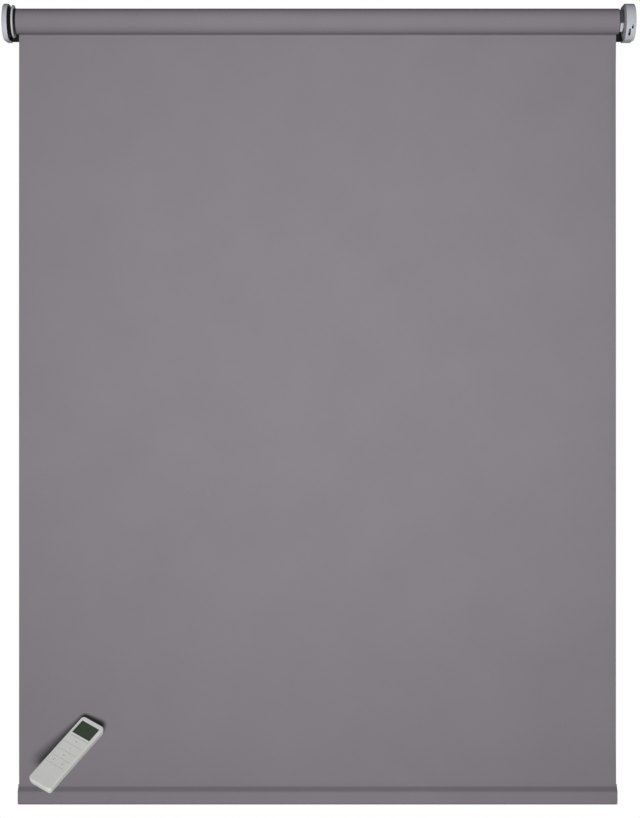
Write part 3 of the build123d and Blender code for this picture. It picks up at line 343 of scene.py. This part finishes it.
# %% [markdown]
# ## What lies inside
# The boards are green lacquer over copper tracks, with bright pads. The cells wear a printed sleeve
# with a pale ring at their raised end. An image could show them, but would blur up close. Both
# patterns repeat along the roller, so they are cut from the remainder of a division: how far a point
# is past the last track or the last cell.

# %% Boards
TRACK_PITCH, TRACK_WIDTH = 0.0022, 0.0007
SLANT_PITCH, SLANT_WIDTH = 0.0034, 0.0008
TRACK_WANDER = 0.003
TRACK_HEIGHT = 0.00003


def lacquered_board(name):
    board = Finish(name, Coat_Roughness=0.15)
    point = board.place()
    x, y, z = board.axes(point)
    wander = (board.noise(point, 300.0) - 0.5) * TRACK_WANDER
    upright = (x + wander).apart(TRACK_PITCH) < TRACK_WIDTH
    slanting = (y - z + wander).apart(SLANT_PITCH) < SLANT_WIDTH
    track = upright.maths("MAXIMUM", slanting)
    pad = board.noise(point, 700.0, 0.0) > 0.68
    green = board.mix(track, (0.012, 0.10, 0.045, 1), (0.03, 0.19, 0.085, 1))
    board.feed(
        Base_Color=board.mix(pad, green, (0.75, 0.62, 0.32, 1)),
        Metallic=pad,
        Roughness=pad * -0.15 + 0.4,
        Coat_Weight=pad * -0.6 + 0.6,
    )
    board.bump(track, TRACK_HEIGHT)
    return board.material


finishes["circuit_board"] = lacquered_board("board_lacquer")
print("tracks to the centimetre", round(0.01 / TRACK_PITCH, 1))

# %% Cells
CELL_COUNT = 3
RING_WIDTH = 0.0035
BARE_RADIUS = 0.0065
WRINKLE_HEIGHT = 0.00002


def sleeved_cells(name, cells):
    """Sleeved along their sides, with a pale ring at one end, and bare metal near their axis."""
    low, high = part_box(cells)
    pitch = (high.x - low.x) / CELL_COUNT
    sleeve = Finish(name, Coat_Weight=0.4)
    x, y, z = sleeve.axes(sleeve.place((1, 1, 1), (-low.x, -AXIS_Y, 0)))
    from_axis = (y * y + z * z).maths("SQRT")
    along = x.apart(pitch)
    ring = along > pitch - RING_WIDTH
    bare = from_axis < BARE_RADIUS
    colour = sleeve.mix(ring, (0.03, 0.09, 0.24, 1), (0.75, 0.76, 0.74, 1))
    wrinkle = sleeve.noise(sleeve.place((400, 2500, 2500)), 1.0)
    sleeve.feed(
        Base_Color=sleeve.mix(bare, colour, (0.6, 0.6, 0.61, 1)),
        Metallic=bare,
        Roughness=wrinkle * 0.2 + 0.28,
    )
    sleeve.bump(wrinkle, WRINKLE_HEIGHT)
    return sleeve.material


finishes["cell_wrap"] = sleeved_cells("cell_sleeve", "battery_cells")
print("finishes with the inside", len(finishes))

# %% [markdown]
# ## Window, display and lamp
# The remote's window is clear plastic over a grey-green display that is switched off. The display's
# glass carries a faint grid of picture cells. The lamp is a clear dome. Glass that bends the light
# would be slow to render and turn dark over the display, so window and dome get an alpha below 1.

# %% Window, display and lamp
PICTURE_CELL, CELL_GAP = 0.0005, 0.00006
PICTURE_ROW, ROW_GAP = 0.0007, 0.00008


def clear_plastic(name, colour, alpha):
    clear = Finish(name, Roughness=0.06, IOR=1.49, Coat_Weight=0.3)
    smear = clear.noise(clear.place(), 90.0, 3.0)
    clear.feed(
        Base_Color=clear.mix(smear, shade(colour, 0.9), shade(colour, 1.1)),
        Roughness=smear * 0.08 + 0.03,
        Alpha=smear * 0.06 + alpha,
    )
    return clear.material


def switched_off_display(name):
    display = Finish(name, IOR=1.5, Coat_Weight=0.25)
    point = display.place()
    x, y, z = display.axes(point)
    column_gap = x.apart(PICTURE_CELL) < CELL_GAP
    row_gap = (y + z).apart(PICTURE_ROW) < ROW_GAP
    cloud = display.noise(point, 70.0, 2.0)
    tone = column_gap.maths("MAXIMUM", row_gap) * 0.25 + cloud * 0.75
    display.feed(
        Base_Color=display.mix(tone, (0.083, 0.112, 0.072, 1), (0.066, 0.09, 0.058, 1)),
        Roughness=cloud * 0.1 + 0.3,
    )
    return display.material


finishes["remote_glass"] = clear_plastic("window_plastic", (0.10, 0.13, 0.10), 0.10)
finishes["lamp_clear"] = clear_plastic("lamp_dome", (0.75, 0.85, 0.78), 0.55)
finishes["remote_display"] = switched_off_display("display_off")
print("finishes with the clear ones", len(finishes))

# %% [markdown]
# ## Give the solids their finishes
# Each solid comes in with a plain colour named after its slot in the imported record. Finishes could be
# given to the solids one by one, but the slot's name is enough to find the finish in one loop.

# %% Give the solids their finishes
for name, node in frame["nodes"].items():
    slot = node.data.materials[0].name.split(".")[0]
    finish = cloth_finish if slot == "cloth" else finishes[slot]
    node.data.materials.clear()
    node.data.materials.append(finish)
print("solids dressed", len(frame["nodes"]))

# %% [markdown]
# ## Working on a mesh
# Modelling here is the same as by hand: add a primitive, open it, pick what to change by its place,
# and use the edit operators. These helpers open, pick, apply modifiers, and put a piece's place into
# its mesh, so that its object rests at the origin.


# %% Helpers for modelling
def take(piece):
    """Makes the piece the only one that the next operators work on."""
    bpy.ops.object.select_all(action="DESELECT")
    piece.select_set(True)
    bpy.context.view_layer.objects.active = piece


@contextmanager
def opened(piece):
    """Edit mode with everything selected, for as long as the block lasts."""
    take(piece)
    bpy.ops.object.mode_set(mode="EDIT")
    bpy.ops.mesh.select_all(action="SELECT")
    yield
    bpy.ops.object.mode_set(mode="OBJECT")


def middle(part):
    """The middle of a face or an edge, or the place of a corner."""
    corners = part.verts if hasattr(part, "verts") else [part]
    return sum((corner.co for corner in corners), Vector()) / len(corners)


def pick(piece, test, kind="FACE"):
    """Selects the faces, edges or corners of an open piece whose middle passes the test."""
    bpy.ops.mesh.select_mode(type=kind)
    bpy.ops.mesh.select_all(action="DESELECT")
    shape = bmesh.from_edit_mesh(piece.data)
    for part in {"FACE": shape.faces, "EDGE": shape.edges, "VERT": shape.verts}[kind]:
        part.select_set(test(middle(part)))
    shape.select_flush_mode()
    bmesh.update_edit_mesh(piece.data)


def settle(piece, smooth_degrees=None):
    """Puts the piece's place into its mesh, and shades it smooth, with edges past an angle kept sharp."""
    take(piece)
    bpy.ops.object.transform_apply(location=True, rotation=True, scale=True)
    if smooth_degrees:
        bpy.ops.object.shade_smooth_by_angle(angle=radians(smooth_degrees))
    else:
        bpy.ops.object.shade_smooth()
    return piece


def begin(name, size=(1, 1, 1)):
    """Names the primitive that was just added, gives it its size, and settles it."""
    piece = bpy.context.object
    piece.name = piece.data.name = name
    piece.scale = size
    while piece.data.uv_layers:
        piece.data.uv_layers.remove(piece.data.uv_layers[0])
    return settle(piece)


def modify(piece, kind, **settings):
    """Adds a modifier with its settings and applies it."""
    modifier = piece.modifiers.new(kind.lower(), kind)
    for name, value in settings.items():
        setattr(modifier, name, value)
    take(piece)
    bpy.ops.object.modifier_apply(modifier=modifier.name)


def face_outwards(piece):
    with opened(piece):
        bpy.ops.mesh.normals_make_consistent(inside=False)


def lay_weave(piece, along):
    """Gives cloth its map in metres: across the blind, and along the cloth's own length."""
    layer = piece.data.uv_layers.new(name="weave")
    for loop in piece.data.loops:
        corner = piece.data.vertices[loop.vertex_index]
        layer.data[loop.index].uv = (corner.co.x, along(corner))
    piece.data.materials.clear()
    piece.data.materials.append(cloth_finish)


# %% [markdown]
# ## The hanging cloth
# A blind's cloth is cut flat and hangs almost flat, held straight by the bar. What gives it away as
# cloth is small: its side edges curl by a millimetre or two, one of them more near the roll, and it
# bows a little between the roll and the bar. A cloth simulation would pull such a taut sheet flat and
# lose the curl. So a grid is stood up, its corners are eased by that much, and a thickness is added.

# %% The hanging cloth
CURL_WIDTH = 0.013
CURL_DEPTH = 0.0016
LEFT_CURL = -0.6
TOP_CURL_DEPTH = 0.0035
TOP_CURL_LENGTH = 0.45
BOW_DEPTH = 0.0009
BOW_ACROSS, BOW_LEAN = 9.0, 1.7
BOW_DOWN, BOW_START = 4.1, 0.6
EASE_LENGTH = 0.09
CROWDING = 0.12
CELLS_ACROSS, CELLS_DOWN = 110, 70

bpy.ops.mesh.primitive_grid_add(
    x_subdivisions=CELLS_ACROSS,
    y_subdivisions=CELLS_DOWN,
    size=1,
    location=(0, SHEET_Y, SHEET_FOOT / 2),
    rotation=(pi / 2, 0, 0),
)
hanging_cloth = begin("hanging_cloth", (2 * HALF_WIDTH, -SHEET_FOOT, 1))


def crowd_to_edges(x):
    """Moves a column of corners towards the side edges, where the curl needs them."""
    share = x / HALF_WIDTH
    if abs(share) >= 1:
        return x
    return HALF_WIDTH * (share * (1 + CROWDING) - CROWDING * share * abs(share) ** 3)


for corner in hanging_cloth.data.vertices:
    corner.co.x = crowd_to_edges(corner.co.x)
    held = min(1.0, -corner.co.z / EASE_LENGTH) * min(1.0, (corner.co.z - SHEET_FOOT) / EASE_LENGTH)
    held = held * held * (3 - 2 * held)
    past = max(0.0, abs(corner.co.x) - (HALF_WIDTH - CURL_WIDTH)) / CURL_WIDTH
    curl = CURL_DEPTH * (1 if corner.co.x > 0 else LEFT_CURL)
    if corner.co.x > 0:
        curl += TOP_CURL_DEPTH * max(0.0, 1 + corner.co.z / TOP_CURL_LENGTH)
    bow = sin(corner.co.x * BOW_ACROSS + corner.co.z * BOW_LEAN) * sin(corner.co.z * BOW_DOWN + BOW_START)
    corner.co.y += held * (curl * past * past + BOW_DEPTH * bow)
modify(hanging_cloth, "SOLIDIFY", thickness=CLOTH, offset=0)
settle(hanging_cloth, CLOTH_SHARP)
lay_weave(hanging_cloth, lambda corner: corner.co.z)
print("hanging cloth corners", len(hanging_cloth.data.vertices))

# %% [markdown]
# ## The cloth on the roll
# Wound cloth is one long spiral, which shows as thin rings at the roll's ends. Nested tubes would look
# much the same, but have no length of cloth to measure. So one edge as long as the roll is spun round
# the axis for two and a half turns. A spin keeps its radius, so each corner is then drawn in by its own
# share of a turn, and the spiral gets the cloth's thickness.

# %% The cloth on the roll
TURN_PITCH = 0.0005
TUBE_CLEARANCE = 0.00005
ROLL_TURNS = (ROLL_RADIUS - TUBE_RADIUS - TUBE_CLEARANCE) / TURN_PITCH
STEPS_PER_TURN = 96
roll_steps = round(ROLL_TURNS * STEPS_PER_TURN)
outer_radius = ROLL_RADIUS - CLOTH / 2

bpy.ops.mesh.primitive_plane_add(size=1, location=(0, AXIS_Y + outer_radius, 0), rotation=(pi / 2, 0, 0))
rolled_cloth = begin("rolled_cloth", (2 * HALF_WIDTH, 1, 1))
with opened(rolled_cloth):
    pick(rolled_cloth, lambda place: place.z > 0.1, "EDGE")
    bpy.ops.mesh.delete(type="VERT")
    pick(rolled_cloth, lambda place: True, "VERT")
    bpy.ops.transform.translate(value=(0, 0, 0.5))
    bpy.ops.mesh.spin(
        steps=roll_steps, angle=-2 * pi * ROLL_TURNS, center=AXIS, axis=(1, 0, 0), use_auto_merge=False
    )
print("spiral corners", len(rolled_cloth.data.vertices), "for steps", roll_steps)

# %% Draw the spiral in and give it its thickness
# The spin lays its corners down two to a step, so a corner's number says how far along the cloth it is.
for number, corner in enumerate(rolled_cloth.data.vertices):
    angle = 2 * pi * ROLL_TURNS * (number // 2) / roll_steps
    radius = outer_radius - TURN_PITCH * angle / (2 * pi)
    corner.co.y = AXIS_Y + radius * cos(angle)
    corner.co.z = radius * sin(angle)
modify(rolled_cloth, "SOLIDIFY", thickness=CLOTH, offset=0)
face_outwards(rolled_cloth)
settle(rolled_cloth, CLOTH_SHARP)
spiral_count = 2 * (roll_steps + 1)
step_length = 2 * pi * outer_radius / STEPS_PER_TURN
lay_weave(rolled_cloth, lambda corner: (corner.index % spiral_count) // 2 * step_length)

# %% [markdown]
# ## Where the cloth leaves the roll
# At the back the cloth comes down off the roll and hangs on. The roll turns with the roller and the
# sheet doesn't, so they can't be one mesh. A thin lead of cloth lies on the roll there and runs out to
# nothing as it goes up, so that the two read as one length of cloth however far the roller has turned.
# It is a thin strip spun a sixth of a turn round the axis.

# %% The lead of cloth onto the roll
LEAD_ANGLE = radians(60)
LEAD_STEPS = 16
LEAD_GAP = 0.00004
sheet_front = SHEET_Y - CLOTH / 2
sheet_back = SHEET_Y + CLOTH / 2

bpy.ops.mesh.primitive_plane_add(size=1, location=(0, SHEET_Y, 0))
cloth_lead = begin("cloth_lead", (2 * HALF_WIDTH, CLOTH, 1))
with opened(cloth_lead):
    bpy.ops.mesh.spin(steps=LEAD_STEPS, angle=-LEAD_ANGLE, center=AXIS, axis=(1, 0, 0))
for corner in cloth_lead.data.vertices:
    angle = atan2(corner.co.z, corner.co.y - AXIS_Y)
    share = min(1.0, angle / LEAD_ANGLE)
    inside = hypot(corner.co.z, corner.co.y - AXIS_Y) < SHEET_Y - AXIS_Y
    foot = (sheet_front if inside else sheet_back) - AXIS_Y
    top = ROLL_RADIUS + LEAD_GAP * (1 if inside else 2)
    radius = foot + (top - foot) * share * (2 - share)
    corner.co.y = AXIS_Y + radius * cos(angle)
    corner.co.z = radius * sin(angle)
face_outwards(cloth_lead)
settle(cloth_lead, CLOTH_SHARP)
lay_weave(cloth_lead, lambda corner: atan2(corner.co.z, corner.co.y - AXIS_Y) * ROLL_RADIUS)
print("lead corners", len(cloth_lead.data.vertices))

# %% [markdown]
# ## The hem round the bottom bar
# The cloth's foot is folded round a rounded bar and welded to itself along a flat seam. From the side
# the hem is flat for the width of the seam, slopes out to the bar's flat front, and turns under at the
# foot. A box with rounded edges has no such slope, which is what catches the light. So a ring of
# corners is set along that outline, extruded as long as the bar, and thickened.

# %% The outline of the hem
SEAM_HEIGHT = 0.0035
SHOULDER_HEIGHT = 0.0115
SEAM_HALF = 0.0005
BEND = 0.0012
SEAM_STEPS, SLOPE_STEPS, ARC_STEPS = 3, 6, 14
round_centre = HEM_FOOT + HEM_HALF_DEPTH
slope_top = SHEET_FOOT - SEAM_HEIGHT
shoulder = SHEET_FOOT - SHOULDER_HEIGHT


def hem_side():
    """One side of the hem from its top to its foot: how far out from the middle, and how high."""
    side = [(SEAM_HALF, SHEET_FOOT - SEAM_HEIGHT * step / SEAM_STEPS) for step in range(SEAM_STEPS + 1)]
    for step in range(1, SLOPE_STEPS):
        share = step / SLOPE_STEPS
        out = SEAM_HALF + (HEM_HALF_DEPTH - SEAM_HALF) * share
        side.append((out, slope_top + (shoulder - slope_top) * share))
    side += [(HEM_HALF_DEPTH - BEND * 0.3, shoulder + BEND * 0.2), (HEM_HALF_DEPTH, shoulder - BEND)]
    side += [(HEM_HALF_DEPTH, (shoulder + round_centre) / 2), (HEM_HALF_DEPTH, round_centre)]
    for step in range(1, ARC_STEPS + 1):
        turn = pi / 2 * step / ARC_STEPS
        side.append((HEM_HALF_DEPTH * cos(turn), round_centre - HEM_HALF_DEPTH * sin(turn)))
    return side


front_side = hem_side()
hem_outline = [(SHEET_Y - out, z) for out, z in front_side]
hem_outline += [(SHEET_Y + out, z) for out, z in reversed(front_side[:-1])]
print("hem outline points", len(hem_outline), "slope from", round(slope_top, 4), "to", round(shoulder, 4))


# %% A piece with the outline of the hem
def hem_ring(name, x):
    """A ring of corners along the hem's outline, standing across the blind at x."""
    bpy.ops.mesh.primitive_circle_add(
        vertices=len(hem_outline),
        radius=HEM_HALF_DEPTH,
        location=(x, SHEET_Y, round_centre),
        rotation=(0, pi / 2, 0),
    )
    ring = begin(name)
    for corner, (y, z) in zip(ring.data.vertices, hem_outline):
        corner.co = (x, y, z)
    return ring


hem_pocket = hem_ring("hem_pocket", -HALF_WIDTH)
with opened(hem_pocket):
    bpy.ops.mesh.extrude_region_move(TRANSFORM_OT_translate={"value": (2 * HALF_WIDTH, 0, 0)})
face_outwards(hem_pocket)
modify(hem_pocket, "SOLIDIFY", thickness=CLOTH, offset=-1)
settle(hem_pocket, CLOTH_SHARP)

lengths = [0.0]
for (y, z), (next_y, next_z) in zip(hem_outline, hem_outline[1:]):
    lengths.append(lengths[-1] + hypot(next_y - y, next_z - z))
outline_count = len(hem_outline)
lay_weave(hem_pocket, lambda corner: -lengths[corner.index % outline_count])
print("cloth round the bar", round(lengths[-1], 4), "m")

# %% [markdown]
# ## Marks on the remote's keys
# The keys carry plain marks: a chevron to raise, a dash to stop, a chevron to lower, and one pointing
# each way to choose a channel. They are printed in grey ink, a hair proud of the key. A pattern in the
# key's material could draw them, but a thin piece of ink keeps its sharp edge up close. Half a chevron
# is a leaning bar; a mirror makes the whole one. Each mark is made lying flat, then laid on its key.

# %% The remote's own directions
REMOTE_SPIN, REMOTE_TILT = radians(33), radians(45)
cos_tilt, sin_tilt = cos(REMOTE_TILT), sin(REMOTE_TILT)
remote_across = Vector((cos(REMOTE_SPIN), -sin(REMOTE_SPIN) * sin_tilt, -sin(REMOTE_SPIN) * cos_tilt))
remote_out = Vector((0, -cos_tilt, sin_tilt))
remote_up = remote_out.cross(remote_across)
remote_turn = Matrix((remote_across, remote_up, remote_out)).transposed().to_4x4()
INK_GAP = 0.00001
PRINT_SHARP = 30


def reach(name, axis):
    """The lowest and the highest place of a node along an axis of the remote."""
    node = frame["nodes"][name]
    places = [(node.matrix_world @ corner.co).dot(axis) for corner in node.data.vertices]
    return min(places), max(places)


def lay_on_remote(piece, name, turn=0.0):
    """Turns a piece made flat at the origin, and lays it on the middle of a node's outer face."""
    middle_across = remote_across * (sum(reach(name, remote_across)) / 2)
    middle_up = remote_up * (sum(reach(name, remote_up)) / 2)
    face = remote_out * (reach(name, remote_out)[1] + INK_GAP)
    place = Matrix.Translation(middle_across + middle_up + face) @ remote_turn
    piece.matrix_world = place @ Matrix.Rotation(turn, 4, "Z")
    settle(piece, PRINT_SHARP)


print("remote faces", [round(part, 3) for part in remote_out])

# %% The marks
MARK_WIDTH = 0.0042
MARK_HEIGHT = 0.0021
MARK_STROKE = 0.00045
MARK_DEPTH = 0.00006
LEANING_STROKE = 1.4
DASH_WIDTH = 0.7 * MARK_WIDTH
ink = moulded("key_ink", (0.10, 0.10, 0.105), 0.5, grain=0.0002, depth=0.000004)


def chevron(name):
    """A chevron pointing up, made from half of it and a mirror."""
    bpy.ops.mesh.primitive_plane_add(size=1, location=(MARK_WIDTH / 4, 0, 0))
    mark = begin(name, (MARK_WIDTH / 2, MARK_STROKE, 1))
    with opened(mark):
        bpy.ops.transform.resize(value=(1, LEANING_STROKE, 1))
        pick(mark, lambda place: place.x < MARK_WIDTH / 8, "VERT")
        bpy.ops.transform.translate(value=(0, MARK_HEIGHT / 2, 0))
        pick(mark, lambda place: place.x > MARK_WIDTH / 8, "VERT")
        bpy.ops.transform.translate(value=(0, -MARK_HEIGHT / 2, 0))
    modify(mark, "MIRROR", use_clip=True)
    return raise_mark(mark)


def dash(name):
    bpy.ops.mesh.primitive_plane_add(size=1)
    return raise_mark(begin(name, (DASH_WIDTH, MARK_STROKE, 1)))


def raise_mark(mark):
    """Extrudes a flat mark by the thickness of its ink and rounds its corners."""
    with opened(mark):
        bpy.ops.mesh.extrude_region_move(TRANSFORM_OT_translate={"value": (0, 0, MARK_DEPTH)})
        pick(mark, lambda place: place.z > MARK_DEPTH / 2)
        bpy.ops.mesh.bevel(offset=MARK_STROKE / 8, segments=2)
    face_outwards(mark)
    mark.data.materials.append(ink)
    return mark


for key, made, turn in (
    ("key_up", chevron, 0), ("key_stop", dash, 0), ("key_down", chevron, pi),
    ("key_previous", chevron, pi / 2), ("key_next", chevron, -pi / 2),
):
    mark = made(key.replace("key", "mark"))
    lay_on_remote(mark, key, turn)
    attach(mark, key)

# %% [markdown]
# ## A black mask and painted shade round the display
# A black frame round the edge of the clear window stands for the window's black mask and for the shade
# that the recess walls cast over the display's edge, so that only the display's middle shows. It could
# be a darker band in the window's material, but that one is clear all over. So a plane as large as the
# window is inset by the border's width, its middle is taken out, and what is left gets a thickness.

# %% The black mask and painted shade round the display
BORDER = 0.0011
BORDER_DEPTH = 0.00005
window_size = []
for axis in (remote_across, remote_up):
    low, high = reach("remote_window", axis)
    window_size.append(high - low)

# The frame is partly painted shade: its black also stands for the recess walls' shadow on the display's
# edge.
bpy.ops.mesh.primitive_plane_add(size=1)
mask_and_shade_frame = begin("mask_and_shade_frame", (*window_size, 1))
with opened(mask_and_shade_frame):
    bpy.ops.mesh.inset(thickness=BORDER)
    pick(mask_and_shade_frame, lambda place: abs(place.x) + abs(place.y) < BORDER)
    bpy.ops.mesh.delete(type="FACE")
modify(mask_and_shade_frame, "SOLIDIFY", thickness=BORDER_DEPTH, offset=1)
mask_and_shade_frame.data.materials.append(finishes["switch_black"])
lay_on_remote(mask_and_shade_frame, "remote_window")
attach(mask_and_shade_frame, "remote")
print("display frame", [round(size, 4) for size in window_size], "m")

# %% [markdown]
# ## The idler's spring
# The spring behind the idler's pin is pressed together as the pin goes in. A imported solid only moves
# as a whole, and winding a new coil would only repeat its shape. So a copy of the coil, with a mesh of
# its own, stands for it.

# %% The idler's spring
SAME_CORNER = 0.000001
idler_coil = frame["nodes"]["idler_spring"].copy()
idler_coil.data = idler_coil.data.copy()
idler_coil.parent = None
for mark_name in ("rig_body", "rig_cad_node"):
    del idler_coil[mark_name]
bpy.context.scene.collection.objects.link(idler_coil)
idler_coil.name = idler_coil.data.name = "idler_coil"
with opened(idler_coil):
    bpy.ops.mesh.remove_doubles(threshold=SAME_CORNER)
settle(idler_coil)
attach(idler_coil, "roller")
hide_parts("idler_spring")
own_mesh(idler_coil)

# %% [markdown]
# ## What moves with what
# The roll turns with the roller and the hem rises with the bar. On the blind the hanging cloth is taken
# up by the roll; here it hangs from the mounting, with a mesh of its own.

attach(hanging_cloth, "mounting")
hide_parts("cloth_sheet")
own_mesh(hanging_cloth)

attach(rolled_cloth, "roller")
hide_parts("cloth_roll")

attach(cloth_lead, "mounting")

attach(hem_pocket, "hem")
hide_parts("hem_sleeve")

# %% [markdown]
# ## The floor and the light
# The blind is lit as for a catalogue. A picture of a studio could light it, but would be one more file
# to read, and lamps are easier to turn down. The main light is a large lamp far in front and low, so
# that light comes almost straight on and the roll darkens evenly to its top and foot. Its beam fades
# outwards, which leaves the cloth's sides a little darker. A weaker soft box stands behind. The camera
# sees plain white all round. Metal sees a room that is white low down and dim higher up.
#
# The floor is pale, adds light of its own for the camera and for metal, keeps the blind's shadow, fades
# to white towards its edge, and is clear from below, so that it never hides a blind that hangs above
# it. Neither floor nor sky is sampled as a lamp, which keeps the grain out of the small parts.

# %% The floor
FLOOR_Z = -2.2
FLOOR_SIZE = 7.0
FLOOR_GLOW = 0.75
FLOOR_FADE = (1.4, 3.3)
WHITE = (1, 1, 1, 1)


def any_ray(nodes, *rays):
    """Is 1 for rays of the named kinds."""
    outputs = nodes.node("ShaderNodeLightPath").socket.node.outputs
    found = sum((Value(nodes, outputs[f"Is {ray} Ray"]) for ray in rays), 0)
    return found.maths("MINIMUM", 1.0)


bpy.ops.mesh.primitive_plane_add(size=FLOOR_SIZE, location=(0, 0, FLOOR_Z))
floor = begin("floor")
pale = Finish("pale_floor", Roughness=0.9)
pale.feed(Base_Color=pale.mix(pale.noise(pale.place(), 3.0), (0.80, 0.80, 0.80, 1), (0.82, 0.82, 0.82, 1)))
matt = Value(pale, pale.shader.outputs["BSDF"])
glow = pale.node("ShaderNodeEmission", {}, {"Color": WHITE, "Strength": FLOOR_GLOW})
lit = pale.node("ShaderNodeAddShader", {}, {0: matt, 1: glow})
white = pale.node("ShaderNodeEmission", {}, {"Color": WHITE, "Strength": 1.0})
far_x, far_y, _ = pale.axes(pale.place())
far = (far_x * far_x + far_y * far_y).maths("SQRT")
fade = pale.node(
    "ShaderNodeMapRange", {"interpolation_type": "SMOOTHSTEP"},
    {"Value": far, "From Min": FLOOR_FADE[0], "From Max": FLOOR_FADE[1]},
)
faded = pale.node("ShaderNodeMixShader", {}, {0: fade, 1: lit, 2: white})
above = pale.node("ShaderNodeMixShader", {}, {0: any_ray(pale, "Camera", "Glossy"), 1: matt, 2: faded})
underside = Value(pale, pale.node("ShaderNodeNewGeometry").socket.node.outputs["Backfacing"])
clear = pale.node("ShaderNodeBsdfTransparent")
choice = pale.node("ShaderNodeMixShader", {}, {0: underside, 1: above, 2: clear})
pale.tree.links.new(choice.socket, pale.tree.nodes["Material Output"].inputs["Surface"])
pale.material.cycles.emission_sampling = "NONE"
floor.data.materials.append(pale.material)
print("floor at", FLOOR_Z)

# %% The sky
SKY_LIGHT = 0.04
ROOM_DIM = 0.1
ROOM_FADE = (-0.75, -0.3)
world = bpy.data.worlds.new("studio")
bpy.context.scene.world = world
world.use_nodes = True
sky = Nodes(world.node_tree)
height = sky.axes(sky.node("ShaderNodeTexCoord", output="Generated"))[2]
room = sky.node(
    "ShaderNodeMapRange", {"interpolation_type": "SMOOTHSTEP"},
    {"Value": height, "From Min": ROOM_FADE[0], "From Max": ROOM_FADE[1], "To Min": 1.0, "To Max": ROOM_DIM},
)
seen = any_ray(sky, "Camera", "Transmission")
for_metal = any_ray(sky, "Glossy") * room
strength = seen.maths("MAXIMUM", for_metal).maths("MAXIMUM", SKY_LIGHT)
background = world.node_tree.nodes["Background"]
background.inputs["Color"].default_value = WHITE
world.node_tree.links.new(strength.socket, background.inputs["Strength"])
world.cycles.sampling_method = "NONE"
print("sky light", SKY_LIGHT)


# %% The lamps
def hang_lamp(name, kind, place, aim, watts, **settings):
    """A lamp turned to what it lights. Metal doesn't mirror it."""
    lamp_data = bpy.data.lights.new(name, kind)
    lamp_data.energy = watts
    for setting, value in settings.items():
        setattr(lamp_data, setting, value)
    lamp = bpy.data.objects.new(name, lamp_data)
    lamp.location = place
    lamp.rotation_euler = (Vector(aim) - Vector(place)).to_track_quat("-Z", "Y").to_euler()
    lamp.visible_camera = lamp.visible_glossy = False
    bpy.context.scene.collection.objects.link(lamp)


hang_lamp(
    "front_lamp", "SPOT", place=(0, -8, -1.7), aim=(0, 0, -0.47), watts=3150,
    spot_size=radians(28), spot_blend=1.0, shadow_soft_size=1.2,
)
hang_lamp(
    "back_box", "AREA", place=(0.6, 3.2, 0.1), aim=(0, AXIS_Y, -0.65), watts=20,
    shape="SQUARE", size=2.2, spread=radians(60),
)
print("lamps", len(bpy.data.lights))

# %% [markdown]
# ## The view settings
# The view settings stay plain, because a filmic look would turn the white background grey.

# %% Set the view
bpy.context.scene.view_settings.view_transform = "Standard"
